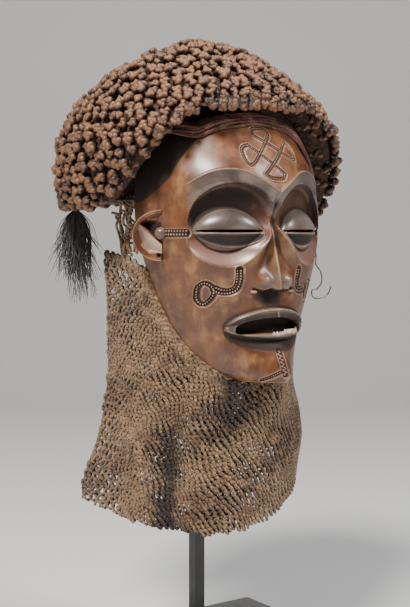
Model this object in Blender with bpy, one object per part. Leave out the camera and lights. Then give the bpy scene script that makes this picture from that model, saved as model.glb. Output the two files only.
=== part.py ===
# A Chokwe mwana pwo mask on its museum stand: a carved wooden face, a coiffure of knotted
# fibre with a corded headband, a collar of looped netting and a tuft of fibre strands.
# Metres, +Z up. The mask faces -Y, and the origin is the middle of the foot's underside.
# The mask's own frame has X to its left, Y back from the dip of its brow line and Z up
# from its eye slits; mask_frame places it over the stand.

import math

import bmesh
import bpy
import numpy as np
from mathutils import Vector

OBJECT_NAME = "mwana_pwo_mask"

# Stand
EYE_LEVEL = 0.389
BROW_TO_POST = 0.119
FOOT_SIZE = (0.220, 0.140, 0.025)
FOOT_EDGE = 0.0012
POST_WIDTH = 0.010
POST_TOP = 0.087
ARM_LEVELS = (0.082, -0.066)
ARM_REACHES = (0.0545, 0.0460)
ARM_HALF_WIDTHS = (0.024, 0.044)
GAP = 0.0004

# Face as plain sections, from chin to crown:
# height, half width, depth of the rim, depth of the front, roundness
FACE_LEVELS = (
    (-0.1215, 0.0230, 0.0270, -0.0050, 1.35),
    (-0.1170, 0.0310, 0.0330, -0.0085, 1.30),
    (-0.1060, 0.0430, 0.0460, -0.0070, 1.30),
    (-0.0970, 0.0510, 0.0530, -0.0030, 1.35),
    (-0.0830, 0.0600, 0.0610, 0.0050, 1.50),
    (-0.0610, 0.0690, 0.0700, 0.0085, 1.80),
    (-0.0300, 0.0780, 0.0780, 0.0045, 2.00),
    (0.0000, 0.0835, 0.0840, 0.0000, 2.05),
    (0.0300, 0.0830, 0.0880, 0.0000, 2.05),
    (0.0500, 0.0795, 0.0900, 0.0070, 2.05),
    (0.0640, 0.0750, 0.0910, 0.0158, 2.00),
    (0.0870, 0.0610, 0.0920, 0.0350, 2.00),
    (0.1000, 0.0430, 0.0940, 0.0520, 2.00),
    (0.1090, 0.0180, 0.0950, 0.0800, 2.00),
)
FACE_WALL = 0.008
# Steps between rows: from, to, number of steps
FACE_ROWS = (
    (-0.1215, -0.0920, 20),
    (-0.0920, -0.0440, 60),
    (-0.0440, 0.0520, 100),
    (0.0520, 0.1090, 24),
)
FACE_COLUMNS = 180
FACE_END_ROWS = 6
INSIDE_STEP = 6
FACE_TRIANGLES = 4900

# Brow line, band under it, sockets, root of the nose
BROW_LINE = (
    (0.0000, 0.0310),
    (0.0110, 0.0382),
    (0.0190, 0.0434),
    (0.0270, 0.0474),
    (0.0365, 0.0492),
    (0.0455, 0.0486),
    (0.0545, 0.0457),
    (0.0650, 0.0385),
    (0.0720, 0.0320),
)
BROW_BAND = 0.0100
BROW_BAND_DEPTH = 0.0050
BROW_RIDGE = (0.0010, 0.0012)
SOCKET_PLACE = (0.0337, 0.0050)
SOCKET_SIZE = (0.0336, 0.0335)
SOCKET_LOW_OUTWARD = 0.0077
SOCKET_LOW_NARROWER = 0.0044
SOCKET_DEPTH = 0.0165
SOCKET_STEEPNESS = (0.42, 0.85)
NOSE_ROOT_DEPTH = (
    (-0.0700, 0.0000),
    (-0.0580, 0.0015),
    (-0.0450, 0.0040),
    (-0.0250, 0.0075),
    (-0.0050, 0.0110),
    (0.0050, 0.0105),
    (0.0150, 0.0065),
    (0.0310, 0.0000),
)
NOSE_ROOT_HALF_WIDTH = (
    (-0.0450, 0.0240),
    (-0.0200, 0.0200),
    (-0.0050, 0.0100),
    (0.0100, 0.0050),
    (0.0310, 0.0040),
)

# Eyes
EYE_PLACE = 0.0358
EYE_HALF_WIDTH = 0.0265
LID_ABOVE = 0.0175
LID_BELOW = 0.0135
EYE_CORNERS_DEPTH = (0.0125, 0.0345)
LID_BULGE = 0.0115
LOWER_LID_FORWARD = 0.0065
SLIT_HEIGHT = 0.0014

# Nose
NOSE_RIDGE = (
    (-0.0460, 0.0118),
    (-0.0400, 0.0112),
    (-0.0300, 0.0090),
    (-0.0200, 0.0065),
    (-0.0100, 0.0035),
    (0.0050, 0.0008),
    (0.0200, 0.0000),
)
NOSE_HALF_WIDTH = (
    (-0.0460, 0.0200),
    (-0.0400, 0.0200),
    (-0.0330, 0.0180),
    (-0.0220, 0.0105),
    (-0.0050, 0.0050),
    (0.0200, 0.0040),
)
NOSE_END = -0.0475
NOSE_WING = (0.0120, -0.0400)
NOSE_WING_SIZE = (0.0062, 0.0066, 0.0048)

# Mouth
MOUTH_HALF_WIDTH = 0.0385
MOUTH_LEVEL = -0.0745
MOUTH_DROOP = 0.0042
UPPER_LIP = 0.0134
LOWER_LIP = 0.0130
LIP_HEIGHT = 0.0048
LIP_EDGE = 0.0020
OPENING = (0.0340, 0.0052, 0.0045)

# Ears: the middle of the edge along the cheek, reach, half height, cup depth, wall
EAR_PLACE = (0.0780, 0.0550, -0.0035)
EAR_REACH = 0.0240
EAR_HALF_HEIGHT = 0.0205
EAR_CUP = 0.0075
EAR_WALL = 0.0032
TRAGUS_PLACE = (0.0785, 0.0555, -0.0020)
TRAGUS_SIZE = 0.0052
# Hole through the left ear for the wire: out along the ear, height, radius, ends
EAR_HOLE = (0.0130, -0.0125, 0.0013, (-0.0010, 0.0075))

# Coiffure
HAIR_MIDDLE = 0.117
HAIR_HALF_WIDTH = 0.1225
HAIR_HALF_DEPTH = 0.1090
HAIR_SQUARENESS = 2.5
HAIR_WIDEST = 0.070
HAIR_TOP = 0.166
HAIR_TOP_FORWARD = 0.003
HAIR_DOME = 1.61
HAIR_WALL = 0.028
HAIR_KNOT_HEIGHT = 0.0035
HAIR_AROUND = 48
HAIR_DOWN = 15
HAIR_CROWN_ROWS = 4
# Lower edge: angle from the front in degrees, height
HAIR_EDGE = (
    (0, 0.098),
    (20, 0.096),
    (35, 0.093),
    (45, 0.080),
    (56, 0.058),
    (79, 0.020),
    (106, 0.019),
    (180, 0.021),
)
HAIR_FAR_DROP = 0.012
HAIR_INSIDE_RISE = 0.008

# Headband of three cords along the hairline: sideways place, height
HAIRLINE = (
    (-0.070, 0.056),
    (-0.062, 0.068),
    (-0.052, 0.077),
    (-0.038, 0.084),
    (-0.018, 0.0895),
    (0.000, 0.091),
    (0.018, 0.0895),
    (0.038, 0.084),
    (0.052, 0.077),
    (0.062, 0.068),
    (0.070, 0.056),
)
BAND_HALF_HEIGHT = 0.0048
BAND_HALF_DEPTH = 0.0026
BAND_STEPS = 26

# Net collar
NET_MIDDLE = 0.112
NET_THICKNESS = 0.005
NET_AROUND = 32
NET_DOWN = 8
NET_TURN = 0.72
NET_JOIN = 0.45
# Upper edge along the wooden rim: share of the way back, height, depth behind the rim
NET_TOP = (
    (0.14, -0.1195, 0.0016),
    (0.24, -0.1140, 0.0012),
    (0.36, -0.0980, 0.0006),
    (0.48, -0.0760, 0.0000),
    (0.60, -0.0530, 0.0000),
    (0.72, -0.0300, 0.0010),
    (0.82, -0.0215, 0.0160),
    (1.00, -0.0160, 0.0520),
)
NET_BEHIND_RIM = 0.0032
# Plain sections: height, half width, depth of the front before its middle, back edge
NET_LEVELS = (
    (-0.250, 0.081, 0.080, 0.182),
    (-0.217, 0.081, 0.080, 0.175),
    (-0.183, 0.078, 0.078, 0.158),
    (-0.147, 0.075, 0.075, 0.148),
    (-0.110, 0.077, 0.081, 0.139),
    (-0.016, 0.080, 0.090, 0.134),
)
# Lower edge: place round the collar from the right back edge, -1, to the left, 1; height
NET_HEM = (
    (-1.00, -0.238),
    (-0.50, -0.246),
    (-0.15, -0.249),
    (0.10, -0.239),
    (0.30, -0.224),
    (0.50, -0.207),
    (0.70, -0.199),
    (1.00, -0.201),
)
# Folds: place round the collar, width, depth inwards, distances below the eyes over
# which the fold grows and over which it ends
NET_FOLDS = (
    (-0.40, 0.075, 0.0090, (0.120, 0.165), (0.300, 0.400)),
    (0.44, 0.260, -0.0080, (0.122, 0.160), (0.172, 0.216)),
)

# Tuft: height, sideways place, depth, half width, half depth
TUFT_SECTIONS = (
    (0.0213, -0.0880, 0.1740, 0.0040, 0.0040),
    (0.0050, -0.0880, 0.1750, 0.0070, 0.0050),
    (-0.0100, -0.0880, 0.1770, 0.0160, 0.0080),
    (-0.0280, -0.0870, 0.1790, 0.0225, 0.0110),
    (-0.0450, -0.0820, 0.1790, 0.0180, 0.0100),
    (-0.0640, -0.0740, 0.1790, 0.0090, 0.0060),
)
TUFT_SIDES = 10

# Wire loop at the far ear
WIRE_RADIUS = 0.0006
WIRE_ROUTE = (
    (0.0814, 0.0700, -0.0160),
    (0.0878, 0.0636, -0.0160),
    (0.0894, 0.0630, -0.0190),
    (0.0903, 0.0634, -0.0240),
    (0.0905, 0.0640, -0.0290),
    (0.0960, 0.0640, -0.0360),
    (0.0975, 0.0640, -0.0450),
    (0.0925, 0.0640, -0.0510),
    (0.0860, 0.0640, -0.0530),
    (0.0870, 0.0640, -0.0580),
    (0.0950, 0.0640, -0.0600),
    (0.1040, 0.0640, -0.0570),
    (0.1090, 0.0640, -0.0490),
)


def smooth_through(knots, place):
    """Value, at each place, of a smooth curve through (place, value) knots."""
    at, value = (np.array(column, float) for column in zip(*knots))
    slope = np.gradient(value, at)
    place = np.clip(place, at[0], at[-1])
    k = np.clip(np.searchsorted(at, place, side="right") - 1, 0, len(at) - 2)
    width = at[k + 1] - at[k]
    t = (place - at[k]) / width
    rise = value[k + 1] - value[k]
    bend = slope[k] * (t**3 - 2 * t**2 + t) + slope[k + 1] * (t**3 - t**2)
    return value[k] + rise * (3 * t**2 - 2 * t**3) + width * bend


def ease(value, start, end):
    """0 before start, 1 after end, smooth between."""
    t = np.clip((value - start) / (end - start), 0, 1)
    return t * t * (3 - 2 * t)


def steps(ranges):
    """All the places in a list of (from, to, number of steps) that follow each other."""
    places = [np.linspace(a, b, n, endpoint=False) for a, b, n in ranges]
    return np.append(np.concatenate(places), ranges[-1][1])


def face_level(z, column):
    return smooth_through([(row[0], row[column]) for row in FACE_LEVELS], z)


def plain_face(across, z, inset=0.0):
    """Sideways place and depth of the uncarved face; across runs from -1 to 1."""
    half_width = face_level(z, 1) - inset
    rim = face_level(z, 2)
    front = face_level(z, 3) + inset
    roundness = face_level(z, 4)
    share = np.abs(across)
    bow = (1 - share**roundness) ** (1 / roundness)
    return half_width * across, rim - (rim - front) * bow


def below_brow(x, z):
    return smooth_through(BROW_LINE, x) - z


def socket_inside(x, z):
    """1 in the middle of the eye socket, 0 at its edge and outside it."""
    low = ease(-z, -0.005, 0.015)
    middle = SOCKET_PLACE[0] + SOCKET_LOW_OUTWARD * low
    half_width = SOCKET_SIZE[0] - SOCKET_LOW_NARROWER * low
    ring = ((x - middle) / half_width) ** 2
    ring = ring + ((z - SOCKET_PLACE[1]) / SOCKET_SIZE[1]) ** 2
    return np.maximum(0, 1 - ring)


def hollows(x, z):
    """Depth of the band under the brow line, the eye sockets and the root of the nose."""
    band = BROW_BAND_DEPTH * np.clip(below_brow(x, z) / BROW_BAND, 0, 1)
    band = band * (1 - ease(x, 0.058, 0.072)) * ease(z, -0.005, 0.012)
    inside = socket_inside(x, z)
    upper = ease(z, -0.008, 0.014)
    steep, gentle = SOCKET_STEEPNESS
    socket = SOCKET_DEPTH * (upper * inside**steep + (1 - upper) * inside**gentle)
    half_width = smooth_through(NOSE_ROOT_HALF_WIDTH, z)
    root = smooth_through(NOSE_ROOT_DEPTH, z) * (1 - ease(x, 0.25 * half_width, half_width))
    return np.maximum(socket, root) + band


def brow_ridge(x, z):
    """Thin raised edge along the brow line."""
    height, width = BROW_RIDGE
    return height * np.exp(-((below_brow(x, z) / width) ** 2)) * (1 - ease(x, 0.062, 0.070))


def lid_depth(x, z):
    """Depth of the closed lids, which sink away beyond their almond outline."""
    across = (x - EYE_PLACE) / EYE_HALF_WIDTH
    almond = np.maximum(0, 1 - across**2)
    reach = np.where(z > 0, LID_ABOVE, LID_BELOW) * np.maximum(almond, 1e-3)
    up = np.abs(z) / reach
    inner, outer = EYE_CORNERS_DEPTH
    line = inner + (outer - inner) * (across + 1) / 2
    lower = LOWER_LID_FORWARD * ease(-z, 0, LID_BELOW) * almond
    bulge = LID_BULGE * almond**0.6 - lower
    depth = line - lower - bulge * np.where(up < 1, np.maximum(0, 1 - up**2) ** 0.7, 1 - up)
    return np.where(almond > 0, depth, np.inf)


def nose_height(x, z):
    ridge = smooth_through(NOSE_RIDGE, z)
    half_width = smooth_through(NOSE_HALF_WIDTH, z)
    wedge = ridge * np.maximum(0, 1 - x / half_width) ** 1.35
    side, level = NOSE_WING
    width, height, swell = NOSE_WING_SIZE
    wing = swell * np.exp(-(((x - side) / width) ** 2) - ((z - level) / height) ** 2)
    return (wedge + wing) * ease(z, NOSE_END - 0.0012, NOSE_END + 0.0012)


def lip_height(x, z):
    """Height of the raised lips, and below zero in the opening between them."""
    across = x / MOUTH_HALF_WIDTH
    almond = np.maximum(0, 1 - across**2)
    up = z - (MOUTH_LEVEL - MOUTH_DROOP * across**2)
    reach = np.where(up > 0, UPPER_LIP, LOWER_LIP) * almond**0.7
    lips = LIP_HEIGHT * ease(reach - np.abs(up), 0, LIP_EDGE)
    half_width, half_height, depth = OPENING
    open_reach = half_height * np.maximum(0, 1 - (x / half_width) ** 2) ** 0.6
    opening = (depth + LIP_HEIGHT) * ease(open_reach - np.abs(up), 0, LIP_EDGE)
    return lips - opening


def face_rows():
    """Heights of the face's rows, and how far each has gone back from the front to the
    rim: the first and last rows close the underside of the chin and the crown."""
    z = steps(FACE_ROWS)
    end = np.linspace(1, 0, FACE_END_ROWS, endpoint=False)
    z = np.concatenate([end * 0 + z[0], z, end * 0 + z[-1]])
    closing = np.zeros(len(z))
    closing[:FACE_END_ROWS] = end
    closing[-FACE_END_ROWS:] = end[::-1]
    return z, closing


def face_point(across, z, closing):
    """Carved outer surface of the face."""
    x, depth = plain_face(across, z)
    side = np.abs(x)
    carved = np.minimum(depth + hollows(side, z), lid_depth(side, z))
    depth = carved - brow_ridge(side, z) - nose_height(side, z) - lip_height(side, z)
    depth = depth + (face_level(z, 2) - depth) * closing
    return np.stack([x, depth, z], axis=-1)


def inside_point(across, z, closing):
    """Hollowed back of the face, one wall behind its large forms."""
    low, high = FACE_LEVELS[0][0], FACE_LEVELS[-1][0]
    z = low + FACE_WALL + (z - low) * (high - low - 2 * FACE_WALL) / (high - low)
    x, depth = plain_face(across, z, FACE_WALL)
    outside = np.abs(x) * face_level(z, 1) / (face_level(z, 1) - FACE_WALL)
    depth = depth + hollows(outside, z) * 0.85
    depth = depth + (face_level(z, 2) - depth) * closing
    return np.stack([x, depth, z], axis=-1)


def material(name, colour, roughness, metallic=0.0):
    new = bpy.data.materials.new(name)
    new.use_nodes = True
    shader = new.node_tree.nodes["Principled BSDF"]
    shader.inputs["Base Color"].default_value = (*colour, 1.0)
    shader.inputs["Roughness"].default_value = roughness
    shader.inputs["Metallic"].default_value = metallic
    new.diffuse_color = (*colour, 1.0)
    return new


def add_object(name, mesh, collection, finish=None, parent=None, smooth_angle=None):
    new = bpy.data.objects.new(name, mesh)
    collection.objects.link(new)
    if finish is not None:
        mesh.materials.append(finish)
    if smooth_angle is not None:
        mesh.shade_smooth()
        mesh.set_sharp_from_angle(angle=math.radians(smooth_angle))
    new.parent = parent
    return new


def closed_mesh(name, points, faces):
    """Mesh of points and faces, with its faces turned outwards."""
    shape = bmesh.new()
    corners = [shape.verts.new(point) for point in points]
    for face in faces:
        shape.faces.new([corners[i] for i in face])
    bmesh.ops.recalc_face_normals(shape, faces=shape.faces)
    mesh = bpy.data.meshes.new(name)
    shape.to_mesh(mesh)
    shape.free()
    return mesh


def grid_faces(rows, columns, first=0):
    """Four-cornered faces of a grid of points kept row by row."""
    faces = []
    for row in range(rows):
        for column in range(columns):
            corner = first + row * (columns + 1) + column
            above = corner + columns + 1
            faces.append((corner, corner + 1, above + 1, above))
    return faces


def grid_edge(rows, columns, first=0):
    """Points round the edge of a grid, in order."""
    wide = columns + 1
    low = [first + c for c in range(columns)]
    right = [first + r * wide + columns for r in range(rows)]
    high = [first + rows * wide + c for c in range(columns, 0, -1)]
    left = [first + r * wide for r in range(rows, 0, -1)]
    return low + right + high + left


def edge_faces(outer, inner):
    """Faces between two closed rings, the outer with a whole number of points to each
    of the inner's."""
    share = len(outer) // len(inner)
    faces = []
    for i, here in enumerate(inner):
        beyond = inner[(i + 1) % len(inner)]
        for k in range(share):
            a = outer[i * share + k]
            b = outer[(i * share + k + 1) % len(outer)]
            faces.append((a, b, here if k < share / 2 else beyond))
        middle = outer[(i * share + math.ceil(share / 2)) % len(outer)]
        faces.append((here, middle, beyond))
    return faces


def shell_mesh(name, outer, inner):
    """Closed shell of two grids of points that share their edges' run."""
    rows, columns = outer.shape[0] - 1, outer.shape[1] - 1
    low_rows, low_columns = inner.shape[0] - 1, inner.shape[1] - 1
    points = np.concatenate([outer.reshape(-1, 3), inner.reshape(-1, 3)])
    first = (rows + 1) * (columns + 1)
    faces = grid_faces(rows, columns) + grid_faces(low_rows, low_columns, first)
    outer_edge = grid_edge(rows, columns)
    faces += edge_faces(outer_edge, grid_edge(low_rows, low_columns, first))
    return closed_mesh(name, points, faces)


def ring_faces(rings, sides, first=0):
    """Faces of a tube of rings of points."""
    faces = []
    for ring in range(rings - 1):
        for side in range(sides):
            a = first + ring * sides + side
            b = first + ring * sides + (side + 1) % sides
            faces.append((a, b, b + sides, a + sides))
    return faces


def tube_mesh(name, rings):
    """Closed tube through rings of points, with flat ends."""
    count, sides = rings.shape[:2]
    faces = ring_faces(count, sides)
    faces.append(tuple(range(sides)))
    faces.append(tuple((count - 1) * sides + side for side in range(sides)))
    return closed_mesh(name, rings.reshape(-1, 3), faces)


def boolean(target, tool, operation):
    change = target.modifiers.new(f"{operation.lower()}_{tool.name}", "BOOLEAN")
    change.operation = operation
    change.object = tool
    change.solver = "EXACT"


def hide_tool(tool):
    tool.hide_render = True
    tool.display_type = "WIRE"


def ear_point(side, reach, turn, layer):
    """Point of the cupped ear on the given side; layer 0 is its front, 1 its back."""
    out = np.array([side * math.sqrt(0.5), math.sqrt(0.5), 0.0])
    inward = np.array([-side * math.sqrt(0.5), math.sqrt(0.5), 0.0])
    place = np.array([side * EAR_PLACE[0], EAR_PLACE[1], EAR_PLACE[2]])
    cup = EAR_CUP * (1 - reach**2.2) * math.cos(turn) ** 0.3
    shrink = 1 - 0.06 * layer
    along = EAR_REACH * reach * math.cos(turn) * shrink
    up = EAR_HALF_HEIGHT * reach * math.sin(turn) * shrink
    return place + out * along + np.array([0, 0, up]) + inward * (cup + EAR_WALL * layer)


def ear_mesh(name, side):
    """Cupped half disc whose straight edge is sunk into the cheek."""
    turns = np.linspace(-0.48 * math.pi, 0.48 * math.pi, 12)
    reaches = np.linspace(0.25, 1.0, 4)
    layers = [
        np.array([[ear_point(side, reach, turn, layer) for turn in turns] for reach in reaches])
        for layer in (0, 1)
    ]
    return shell_mesh(name, *layers)


def ear_hole_mesh(name, side):
    """Round bar along the way through the ear."""
    along, up, radius, ends = EAR_HOLE
    out = np.array([side * math.sqrt(0.5), math.sqrt(0.5), 0.0])
    inward = np.array([-side * math.sqrt(0.5), math.sqrt(0.5), 0.0])
    middle = np.array([side * EAR_PLACE[0], EAR_PLACE[1], EAR_PLACE[2] + up]) + out * along
    turns = np.linspace(0, 2 * math.pi, 10, endpoint=False)
    circle = [out * radius * math.cos(t) + np.array([0, 0, radius * math.sin(t)]) for t in turns]
    return tube_mesh(name, np.array([[middle + inward * end + p for p in circle] for end in ends]))


def tragus_mesh(name, side):
    shape = bmesh.new()
    bmesh.ops.create_uvsphere(shape, u_segments=10, v_segments=7, radius=TRAGUS_SIZE)
    middle = (side * TRAGUS_PLACE[0], TRAGUS_PLACE[1], TRAGUS_PLACE[2])
    bmesh.ops.translate(shape, verts=shape.verts, vec=middle)
    mesh = bpy.data.meshes.new(name)
    shape.to_mesh(mesh)
    shape.free()
    return mesh


def slit_mesh(name, side):
    """Long thin lens that cuts an eye slit through the lids."""
    across = np.linspace(-0.94, 0.94, 13)
    half = SLIT_HEIGHT / 2 * (1 - across**2) ** 0.4
    x = side * (EYE_PLACE + across * EYE_HALF_WIDTH)
    upper = [(a, b) for a, b in zip(x, half)]
    lower = [(a, -b) for a, b in zip(x[::-1], half[::-1])]
    outline = upper + lower
    rings = [[(a, depth, b) for a, b in outline] for depth in (0.002, 0.060)]
    return tube_mesh(name, np.array(rings))


def build_face(parts, tools, frame, finish):
    columns = np.linspace(-1, 1, FACE_COLUMNS + 1)
    columns = np.sin(math.pi / 2 * (0.6 * columns + 0.4 * columns**3))
    rows, closing = face_rows()
    across, z = np.meshgrid(columns, rows)
    closing = np.repeat(closing[:, None], len(columns), axis=1)
    step = slice(None, None, INSIDE_STEP)
    outer = face_point(across, z, closing)
    inner = inside_point(across[step, step], z[step, step], closing[step, step])
    mesh = shell_mesh("wooden_face", outer, inner)
    face = add_object("wooden_face", mesh, parts, finish, frame, 40)
    fewer = face.modifiers.new("fewer_faces", "DECIMATE")
    fewer.ratio = FACE_TRIANGLES / sum(len(polygon.vertices) - 2 for polygon in mesh.polygons)
    pieces = (
        ("right_ear", ear_mesh, -1, "UNION"),
        ("right_tragus", tragus_mesh, -1, "UNION"),
        ("right_slit", slit_mesh, -1, "DIFFERENCE"),
        ("left_ear", ear_mesh, 1, "UNION"),
        ("left_tragus", tragus_mesh, 1, "UNION"),
        ("left_slit", slit_mesh, 1, "DIFFERENCE"),
        ("left_ear_hole", ear_hole_mesh, 1, "DIFFERENCE"),
    )
    for name, maker, side, operation in pieces:
        tool = add_object(name, maker(name, side), tools, None, frame)
        hide_tool(tool)
        boolean(face, tool, operation)


def hair_plan(angle, half_width, half_depth):
    """Radius of the coiffure's plan, a rounded square, at an angle from the front."""
    share = np.abs(np.sin(angle) / half_width) ** HAIR_SQUARENESS
    share = share + np.abs(np.cos(angle) / half_depth) ** HAIR_SQUARENESS
    return share ** (-1 / HAIR_SQUARENESS)


def hair_edge(angle):
    """Height of the coiffure's lower edge; it hangs lower on the mask's left."""
    turn = np.abs(np.degrees((angle + math.pi) % (2 * math.pi) - math.pi))
    drop = HAIR_FAR_DROP * ease(turn, 30, 60) * (1 - ease(turn, 110, 180))
    return smooth_through(HAIR_EDGE, turn) - np.where(np.sin(angle) > 0, drop, 0)


def hair_grid(around, down, wall, knots):
    """Points of the outer or inner surface of the coiffure, from top to lower edge."""
    angle = np.arange(around) * 2 * math.pi / around
    top = HAIR_TOP - wall
    radius = hair_plan(angle, HAIR_HALF_WIDTH - wall, HAIR_HALF_DEPTH - wall)
    edge = hair_edge(angle) + np.where(wall > 0, HAIR_INSIDE_RISE, 0.0)
    turn = np.linspace(0, 1, down + 1)[1:, None]
    drop = (top - edge)[None, :]
    z = top - drop * (0.45 * turn**2 + 0.55 * turn)
    rise = np.clip((z - HAIR_WIDEST) / (top - HAIR_WIDEST), 0, 1)
    spread = (1 - rise**HAIR_DOME) ** (1 / HAIR_DOME)
    spread = spread - 0.03 * (np.minimum(0, z - HAIR_WIDEST) / 0.05) ** 2
    row, column = np.meshgrid(np.arange(down), np.arange(around), indexing="ij")
    bump = knots * np.where((row + column) % 2 == 0, 1, -1)
    bump = bump * np.where(row < down - 1, 1, 0) * ease(row, 0, HAIR_CROWN_ROWS)
    reach = radius[None, :] * spread + bump
    x = reach * np.sin(angle)[None, :]
    y = HAIR_MIDDLE - HAIR_TOP_FORWARD * rise - reach * np.cos(angle)[None, :]
    return np.stack([x, y, z + 0.7 * bump * rise], axis=-1)


def build_hair(parts, frame, finish):
    """Dome of knots with a thick wall, open below and in front of the face."""
    outer = hair_grid(HAIR_AROUND, HAIR_DOWN, 0.0, HAIR_KNOT_HEIGHT / 2)
    inner = hair_grid(HAIR_AROUND // 2, HAIR_DOWN // 2, HAIR_WALL, 0.0)
    points, faces, edges = [], [], []
    for grid, top in ((outer, HAIR_TOP), (inner, HAIR_TOP - HAIR_WALL)):
        first = len(points)
        down, around = grid.shape[:2]
        crown_point = (0, HAIR_MIDDLE - HAIR_TOP_FORWARD, top)
        points += [tuple(p) for p in grid.reshape(-1, 3)] + [crown_point]
        faces += ring_faces(down, around, first)
        crown = first + down * around
        faces += [(first + k, first + (k + 1) % around, crown) for k in range(around)]
        edges.append([first + (down - 1) * around + k for k in range(around)])
    faces += edge_faces(*edges)
    mesh = closed_mesh("coiffure", points, faces)
    return add_object("coiffure", mesh, parts, finish, frame, 50)


def band_route(step):
    """A place on the forehead's hairline and the direction out of the wood there."""
    x = HAIRLINE[0][0] + (HAIRLINE[-1][0] - HAIRLINE[0][0]) * step
    z = float(smooth_through(HAIRLINE, x))

    def skin(side, level):
        across = side / face_level(level, 1)
        return Vector(np.array(plain_face(across, level)).tolist() + [level])

    here = skin(x, z)
    sideways = skin(x + 0.001, z) - here
    upward = skin(x, z + 0.001) - here
    out = sideways.cross(upward).normalized()
    return here, out


def build_headband(parts, frame, finish):
    """Three cords laid side by side, as one strip with a rounded back."""
    places = [band_route(k / BAND_STEPS) for k in range(BAND_STEPS + 1)]
    rings = []
    for k, (here, out) in enumerate(places):
        before = places[max(k - 1, 0)][0]
        after = places[min(k + 1, BAND_STEPS)][0]
        along = (after - before).normalized()
        up = out.cross(along).normalized()
        up = up if up.z > 0 else -up
        middle = here + out * (BAND_HALF_DEPTH + GAP * 2)
        ring = []
        for turn in np.linspace(0, 2 * math.pi, 8, endpoint=False):
            lift = up * (BAND_HALF_HEIGHT * math.cos(turn))
            ring.append(middle + lift + out * (BAND_HALF_DEPTH * math.sin(turn)))
        rings.append(ring)
    mesh = tube_mesh("headband", np.array([[tuple(p) for p in ring] for ring in rings]))
    return add_object("headband", mesh, parts, finish, frame, 50)


def net_top(share):
    """Upper edge of half the collar, straight behind the chin and then along the rim."""
    height = smooth_through([(row[0], row[1]) for row in NET_TOP], share)
    behind = smooth_through([(row[0], row[2]) for row in NET_TOP], share)
    across = np.minimum(share / NET_TOP[0][0], 1)
    x = face_level(height, 1) * across
    return x, face_level(height, 2) + NET_BEHIND_RIM + behind, height


def net_section(share, z):
    """Half of the collar's plan at a height: a quarter oval, then straight back."""
    rows = NET_LEVELS
    half_width, front, back = [smooth_through([(r[0], r[k]) for r in rows], z) for k in (1, 2, 3)]
    turn = np.minimum(share / NET_TURN, 1) * math.pi / 2
    behind = np.clip((share - NET_TURN) / (1 - NET_TURN), 0, 1)
    x = half_width * np.sin(turn)
    y = NET_MIDDLE - front * np.cos(turn) + (back - NET_MIDDLE) * behind
    return x, y


def net_point(around, down):
    """Middle of the netting; around runs from the right back edge, -1, to the left, 1."""
    share = np.abs(around)
    top_x, top_y, top_z = net_top(share)
    z = top_z + (smooth_through(NET_HEM, around) - top_z) * down
    plan_x, plan_y = net_section(share, z)
    free = ease(down, 0, NET_JOIN)
    x = top_x + (plan_x - top_x) * free
    y = top_y + (plan_y - top_y) * free
    for middle, width, depth, grows, ends in NET_FOLDS:
        fold = depth * np.exp(-(((around - middle) / width) ** 2))
        fold = fold * ease(-z, *grows) * (1 - ease(-z, *ends))
        y = y + fold * np.cos(share * math.pi / 2)
        x = x - fold * np.sin(share * math.pi / 2)
    return np.stack([np.sign(around) * x, y, z], axis=-1)


def net_layer(around, down, offset):
    """Grid of the netting's surface, moved outwards by offset."""
    middle = net_point(around, down)
    little = 0.001
    along = net_point(np.clip(around + little, -1, 1), down)
    along = along - net_point(np.clip(around - little, -1, 1), down)
    below = net_point(around, np.clip(down + little, 0, 1))
    below = below - net_point(around, np.clip(down - little, 0, 1))
    out = np.cross(along, below)
    out = out / np.linalg.norm(out, axis=-1, keepdims=True)
    toward = middle - np.array([0, NET_MIDDLE, -0.1])
    flip = np.sign((out * toward * np.array([1, 1, 0])).sum(axis=-1, keepdims=True))
    return middle + out * flip * offset


def build_net(parts, frame, finish):
    grid = np.meshgrid(np.linspace(-1, 1, NET_AROUND + 1), np.linspace(0, 1, NET_DOWN + 1))
    outer = net_layer(*grid, NET_THICKNESS / 2)
    inner = net_layer(*grid, -NET_THICKNESS / 2)
    mesh = shell_mesh("net_collar", outer, inner)
    return add_object("net_collar", mesh, parts, finish, frame, 60)


def build_tuft(parts, frame, finish):
    rings = []
    for z, x, y, half_width, half_depth in TUFT_SECTIONS:
        turns = np.linspace(0, 2 * math.pi, TUFT_SIDES, endpoint=False)
        rings.append([(x + half_width * math.cos(t), y + half_depth * math.sin(t), z) for t in turns])
    mesh = tube_mesh("fibre_tuft", np.array(rings))
    return add_object("fibre_tuft", mesh, parts, finish, frame, 60)


def build_wire(parts, frame, finish):
    curve = bpy.data.curves.new("ear_wire", "CURVE")
    curve.dimensions = "3D"
    curve.bevel_depth = WIRE_RADIUS
    curve.bevel_resolution = 1
    curve.use_fill_caps = True
    line = curve.splines.new("POLY")
    line.points.add(len(WIRE_ROUTE) - 1)
    for point, place in zip(line.points, WIRE_ROUTE):
        point.co = (*place, 1)
    curve.materials.append(finish)
    wire = bpy.data.objects.new("ear_wire", curve)
    parts.objects.link(wire)
    wire.parent = frame
    return wire


def box_mesh(name, low, high, edge=0.0):
    shape = bmesh.new()
    bmesh.ops.create_cube(shape, size=1.0)
    size = Vector(high) - Vector(low)
    bmesh.ops.scale(shape, verts=shape.verts, vec=size)
    bmesh.ops.translate(shape, verts=shape.verts, vec=(Vector(low) + Vector(high)) / 2)
    if edge > 0:
        bmesh.ops.bevel(shape, geom=shape.edges, offset=edge, segments=1, affect="EDGES")
    mesh = bpy.data.meshes.new(name)
    shape.to_mesh(mesh)
    shape.free()
    return mesh


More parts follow.
